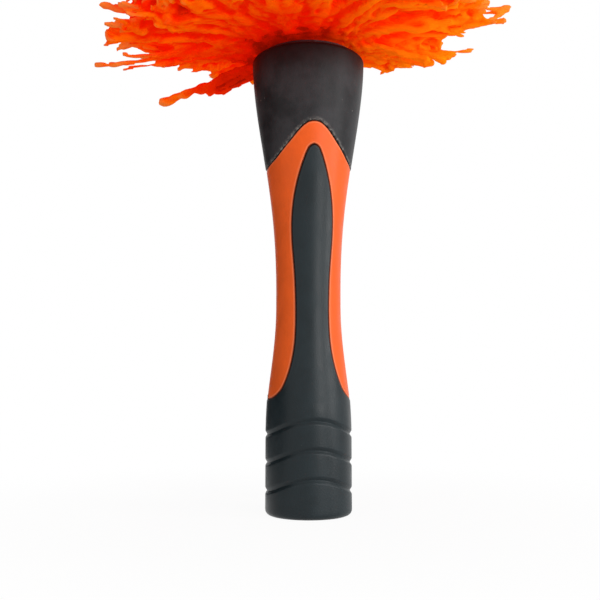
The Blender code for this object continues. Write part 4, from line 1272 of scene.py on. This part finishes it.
def make_materials(finish):
    """Makes all the finishes of the duster."""
    groups = {"grain": moulded_grain_group(), "wear": handling_wear_group(), "streaks": fibre_streak_group()}
    grip = tuple(finish.grip)
    moulded_material(
        "charcoal_soft_grip", grip, 0.38, 0.25, 2400.0, 0.035, (0.20, 0.20, 0.19), groups,
        specks=0.08, mottle=0.14, rubbing=0.02, joint_shading=0.9)
    # the collar: the grip's charcoal made lighter and warmer, painted orange bounce light from the head above
    moulded_material(
        "charcoal_collar_grip", scaled(grip, 2.7, 1.62, 1.46), 0.45, 0.14, 2400.0, 0.035,
        (0.34, 0.33, 0.30), groups,
        specks=0.5, mottle=0.38, rubbing=0.05, flecks=0.6, joint_shading=0.3, shaded_top=0.85)
    moulded_material(
        "orange_plastic", tuple(finish.plastic), 0.44, 0.26, 1700.0, 0.018, (0.95, 0.50, 0.28), groups,
        specks=0.06, mottle=0.05, rubbing=0.14, joint_shading=0.92)
    moulded_material(
        "black_plastic", (0.018, 0.018, 0.020), 0.42, 0.5, 1800.0, 0.015, (0.12, 0.12, 0.12), groups,
        specks=0.2, mottle=0.10)
    moulded_material(
        "washer_rubber", (0.075, 0.075, 0.078), 0.74, 0.35, 1500.0, 0.03, (0.22, 0.22, 0.21), groups,
        specks=0.4, mottle=0.2)
    metal_material("tube_aluminium", (0.72, 0.73, 0.75), 0.30, groups)
    metal_material("zinc_steel", (0.66, 0.66, 0.68), 0.27, groups)
    fibre_material("orange_microfibre", finish, groups)


def finish_of(finish_name):
    """The material of a finish; all of them are made when the first is asked for."""
    name = FINISH_NAMES[finish_name]
    if name not in bpy.data.materials:
        make_materials(bpy.context.scene.duster_finish)
    return bpy.data.materials[name]


FINISH_NAMES = {
    "charcoal_soft_grip": "Charcoal soft grip",
    "charcoal_collar_grip": "Charcoal collar grip",
    "orange_plastic": "Orange moulded plastic",
    "black_plastic": "Black moulded plastic",
    "washer_rubber": "Washer rubber",
    "tube_aluminium": "Drawn aluminium tube",
    "zinc_steel": "Zinc plated steel",
    "orange_microfibre": "Orange microfibre",
}
FITTINGS = {
    "end_cap": "charcoal_soft_grip",
    "threaded_socket": "black_plastic",
    "thrust_washer": "washer_rubber",
    "head_plug": "black_plastic",
    "core_tube": "tube_aluminium",
    "tube_pin": "zinc_steel",
    "top_plug": "black_plastic",
    "clamp_washer": "zinc_steel",
    "clamp_screw": "zinc_steel",
}


# ---------------------------------------------------------------- stage

def make_camera():
    """The photograph's camera: low, close and tilted up a little."""
    data = bpy.data.cameras.new("duster_camera")
    data.sensor_width = 36.0
    data.lens = FOCAL_PIXELS / PHOTO_PIXELS * data.sensor_width
    data.clip_start = 0.01
    camera = bpy.data.objects.new("duster_camera", data)
    bpy.context.scene.collection.objects.link(camera)
    heading = math.radians(-7.5)
    camera.location = (EYE_DISTANCE * math.sin(heading), -EYE_DISTANCE * math.cos(heading), EYE_HEIGHT)
    camera.rotation_euler = (math.radians(90.0 + 5.4), 0.0, heading + math.atan(ASIDE_PIXELS / FOCAL_PIXELS))
    bpy.context.scene.camera = camera


def add_lamp(name, place, width, height, power):
    """A soft upright lamp that looks at the middle of the handle."""
    data = bpy.data.lights.new(name, "AREA")
    data.shape = "RECTANGLE"
    data.size = width
    data.size_y = height
    data.energy = power
    lamp = bpy.data.objects.new(name, data)
    bpy.context.scene.collection.objects.link(lamp)
    lamp.location = place
    lamp.rotation_euler = (LAMP_AIM - Vector(place)).to_track_quat("-Z", "Y").to_euler()
    return lamp


def seen_directly(tree):
    """1 for rays from the camera, or that reach it by gloss or glass."""
    path = add_node(tree, "ShaderNodeLightPath", {}).outputs
    seen = math_node(tree, "MAXIMUM", path["Is Camera Ray"], path["Is Glossy Ray"])
    return math_node(tree, "MAXIMUM", seen, path["Is Transmission Ray"])


def make_surround(level):
    """An even surround: white to the camera and in gloss, dimmer as a light."""
    world = bpy.data.worlds.new("pale_surround")
    bpy.context.scene.world = world
    world.use_nodes = True
    tree = world.node_tree
    strength = map_range(tree, seen_directly(tree), 0.0, 1.0, level, 1.0, ease="LINEAR")
    set_inputs(tree, tree.nodes["Background"], {"Color": WHITE, "Strength": strength})


def make_floor():
    """A white floor that takes the duster's soft shadow and runs into the surround."""
    bm = bmesh.new()
    bmesh.ops.create_grid(bm, x_segments=8, y_segments=8, size=1.6)
    floor = new_piece("pale_floor", bm)
    tree, shader = new_material("White floor")
    set_inputs(tree, shader, {"Base Color": (0.85, 0.85, 0.85), "Roughness": 0.85})
    glow = add_node(tree, "ShaderNodeEmission", {"Color": WHITE, "Strength": 1.0}).outputs[0]
    far = add_node(tree, "ShaderNodeVectorMath", {0: object_place(tree)}, operation="LENGTH").outputs["Value"]
    factor = times(tree, seen_directly(tree), map_range(tree, far, 0.03, 0.22, 0.94, 1.0))
    mixed = add_node(tree, "ShaderNodeMixShader", {0: factor, 1: shader.outputs[0], 2: glow}).outputs[0]
    set_inputs(tree, tree.nodes["Material Output"], {"Surface": mixed})
    floor.data.materials.append(bpy.data.materials["White floor"])


def make_dark_card(name, place, width, height):
    """A black card out of sight on the left, which the handle's left side mirrors."""
    bm = bmesh.new()
    bmesh.ops.create_grid(
        bm, x_segments=1, y_segments=1, size=1.0, matrix=Matrix.Diagonal((width / 2.0, height / 2.0, 1.0, 1.0)))
    card = new_piece(name, bm)
    card.location = place
    card.rotation_euler = (QUARTER_TURN, 0.0, math.radians(68.0))
    card.data.materials.append(bpy.data.materials["Black card"])
    for kind in ("camera", "diffuse", "transmission", "shadow"):
        setattr(card, f"visible_{kind}", False)


# ---------------------------------------------------------------- operators

class DUSTER_OT_stage(bpy.types.Operator):
    """Sets up the camera, the soft lamps, the surround, the floor and the dark cards"""

    bl_idname = "duster.stage"
    bl_label = "Set the stage"

    def execute(self, context):
        settings = context.scene.duster_stage
        make_camera()
        context.scene.view_settings.view_transform = "Standard"
        add_lamp("key_lamp", (0.795, -0.423, 0.25), 0.28, 0.85, settings.key)
        add_lamp("front_lamp", (0.50, -0.94, 0.34), 0.28, 0.85, settings.front)
        add_lamp("fill_lamp", (-0.75, -0.85, 0.55), 0.80, 0.80, settings.fill).visible_glossy = False
        make_surround(settings.sky)
        make_floor()
        tree, shader = new_material("Black card")
        set_inputs(tree, shader, {"Base Color": (0.004, 0.004, 0.004), "Roughness": 0.9})
        make_dark_card("dark_card", (-0.55, 0.35, 0.25), 1.0, 1.0)
        make_dark_card("low_dark_card", (-0.17, 0.08, 0.051), 0.36, 0.10)
        return {"FINISHED"}


class DUSTER_OT_lower_grip(bpy.types.Operator):
    """Makes the charcoal base sleeve with its grooves and spines"""

    bl_idname = "duster.lower_grip"
    bl_label = "Make the lower grip"

    def execute(self, context):
        piece = make_lower_grip(context.scene.duster_handle)
        settle(piece, "handle", "charcoal_soft_grip", finish_of("charcoal_soft_grip"), "lower_grip")
        return {"FINISHED"}


class DUSTER_OT_collar(bpy.types.Operator):
    """Makes the flared charcoal collar"""

    bl_idname = "duster.collar"
    bl_label = "Make the collar"

    def execute(self, context):
        piece = make_collar(context.scene.duster_handle)
        settle(piece, "handle", "charcoal_soft_grip", finish_of("charcoal_collar_grip"), "collar_grip")
        return {"FINISHED"}


class DUSTER_OT_core(bpy.types.Operator):
    """Makes the orange panels and the hollow core under them"""

    bl_idname = "duster.core"
    bl_label = "Make the orange core"

    def execute(self, context):
        piece = make_orange_core(context.scene.duster_handle)
        settle(piece, "handle", "orange_plastic", finish_of("orange_plastic"), "handle_core")
        return {"FINISHED"}


class DUSTER_OT_fittings(bpy.types.Operator):
    """Gives the cap, thread, washer, tube, plugs, pin and screw their finishes"""

    bl_idname = "duster.fittings"
    bl_label = "Finish the fittings"

    def execute(self, context):
        for name, finish_name in FITTINGS.items():
            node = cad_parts[name]
            material = finish_of(finish_name)
            if not node.material_slots:
                node.data.materials.append(material)
            for place in node.material_slots:
                place.material = material
        return {"FINISHED"}


class DUSTER_OT_strands(bpy.types.Operator):
    """Makes the felted strands of the seven sleeve slices and of the crown"""

    bl_idname = "duster.strands"
    bl_label = "Make the strand head"

    def execute(self, context):
        settings = context.scene.duster_head
        template = strand_template()
        fibre = finish_of("orange_microfibre")
        filling = HeadFilling()
        pieces = []
        for index in range(RING_COUNT):
            piece = make_strand_ring(index, settings, template, filling)
            pieces.append(settle(piece, "head", "orange_microfibre", fibre, f"strand_ring_{index + 1}"))
        crown = make_crown(settings, template, filling)
        pieces.append(settle(crown, "head", "orange_microfibre", fibre, "crown_tuft"))
        filling.soften()
        for index, piece in enumerate(pieces):
            root_height = LOWEST_ROW + (index + 0.5) * ROWS_PER_RING * ROW_STEP
            mark_felt(piece, filling, root_height, np.random.default_rng(settings.seed * 100 + 50 + index))
        bpy.data.meshes.remove(template)
        return {"FINISHED"}


class DUSTER_PT_panel(bpy.types.Panel):
    """Lists the duster's settings and its operators"""

    bl_idname = "DUSTER_PT_panel"
    bl_label = "Duster"
    bl_space_type = "VIEW_3D"
    bl_region_type = "UI"
    bl_category = "Duster"

    def draw(self, context):
        scene = context.scene
        for title, group in (("Handle", scene.duster_handle), ("Head", scene.duster_head),
                             ("Finish", scene.duster_finish), ("Stage", scene.duster_stage)):
            box = self.layout.box()
            box.label(text=title)
            for name in group.__annotations__:
                box.prop(group, name)
        for operator in OPERATORS:
            self.layout.operator(operator.bl_idname)


SETTINGS = {
    "duster_handle": HandleSettings,
    "duster_head": HeadSettings,
    "duster_finish": FinishSettings,
    "duster_stage": StageSettings,
}
OPERATORS = (
    DUSTER_OT_stage, DUSTER_OT_lower_grip, DUSTER_OT_collar, DUSTER_OT_core, DUSTER_OT_fittings,
    DUSTER_OT_strands)


def register():
    for kind in (*SETTINGS.values(), *OPERATORS, DUSTER_PT_panel):
        bpy.utils.register_class(kind)
    for name, kind in SETTINGS.items():
        setattr(bpy.types.Scene, name, PointerProperty(type=kind))


def unregister():
    for name in SETTINGS:
        delattr(bpy.types.Scene, name)
    for kind in (DUSTER_PT_panel, *reversed(OPERATORS), *reversed(SETTINGS.values())):
        bpy.utils.unregister_class(kind)


def main():
    register()
    bpy.ops.duster.stage()
    bpy.ops.duster.lower_grip()
    bpy.ops.duster.collar()
    bpy.ops.duster.core()
    bpy.ops.duster.fittings()
    bpy.ops.duster.strands()


if __name__ == "__main__":
    main()
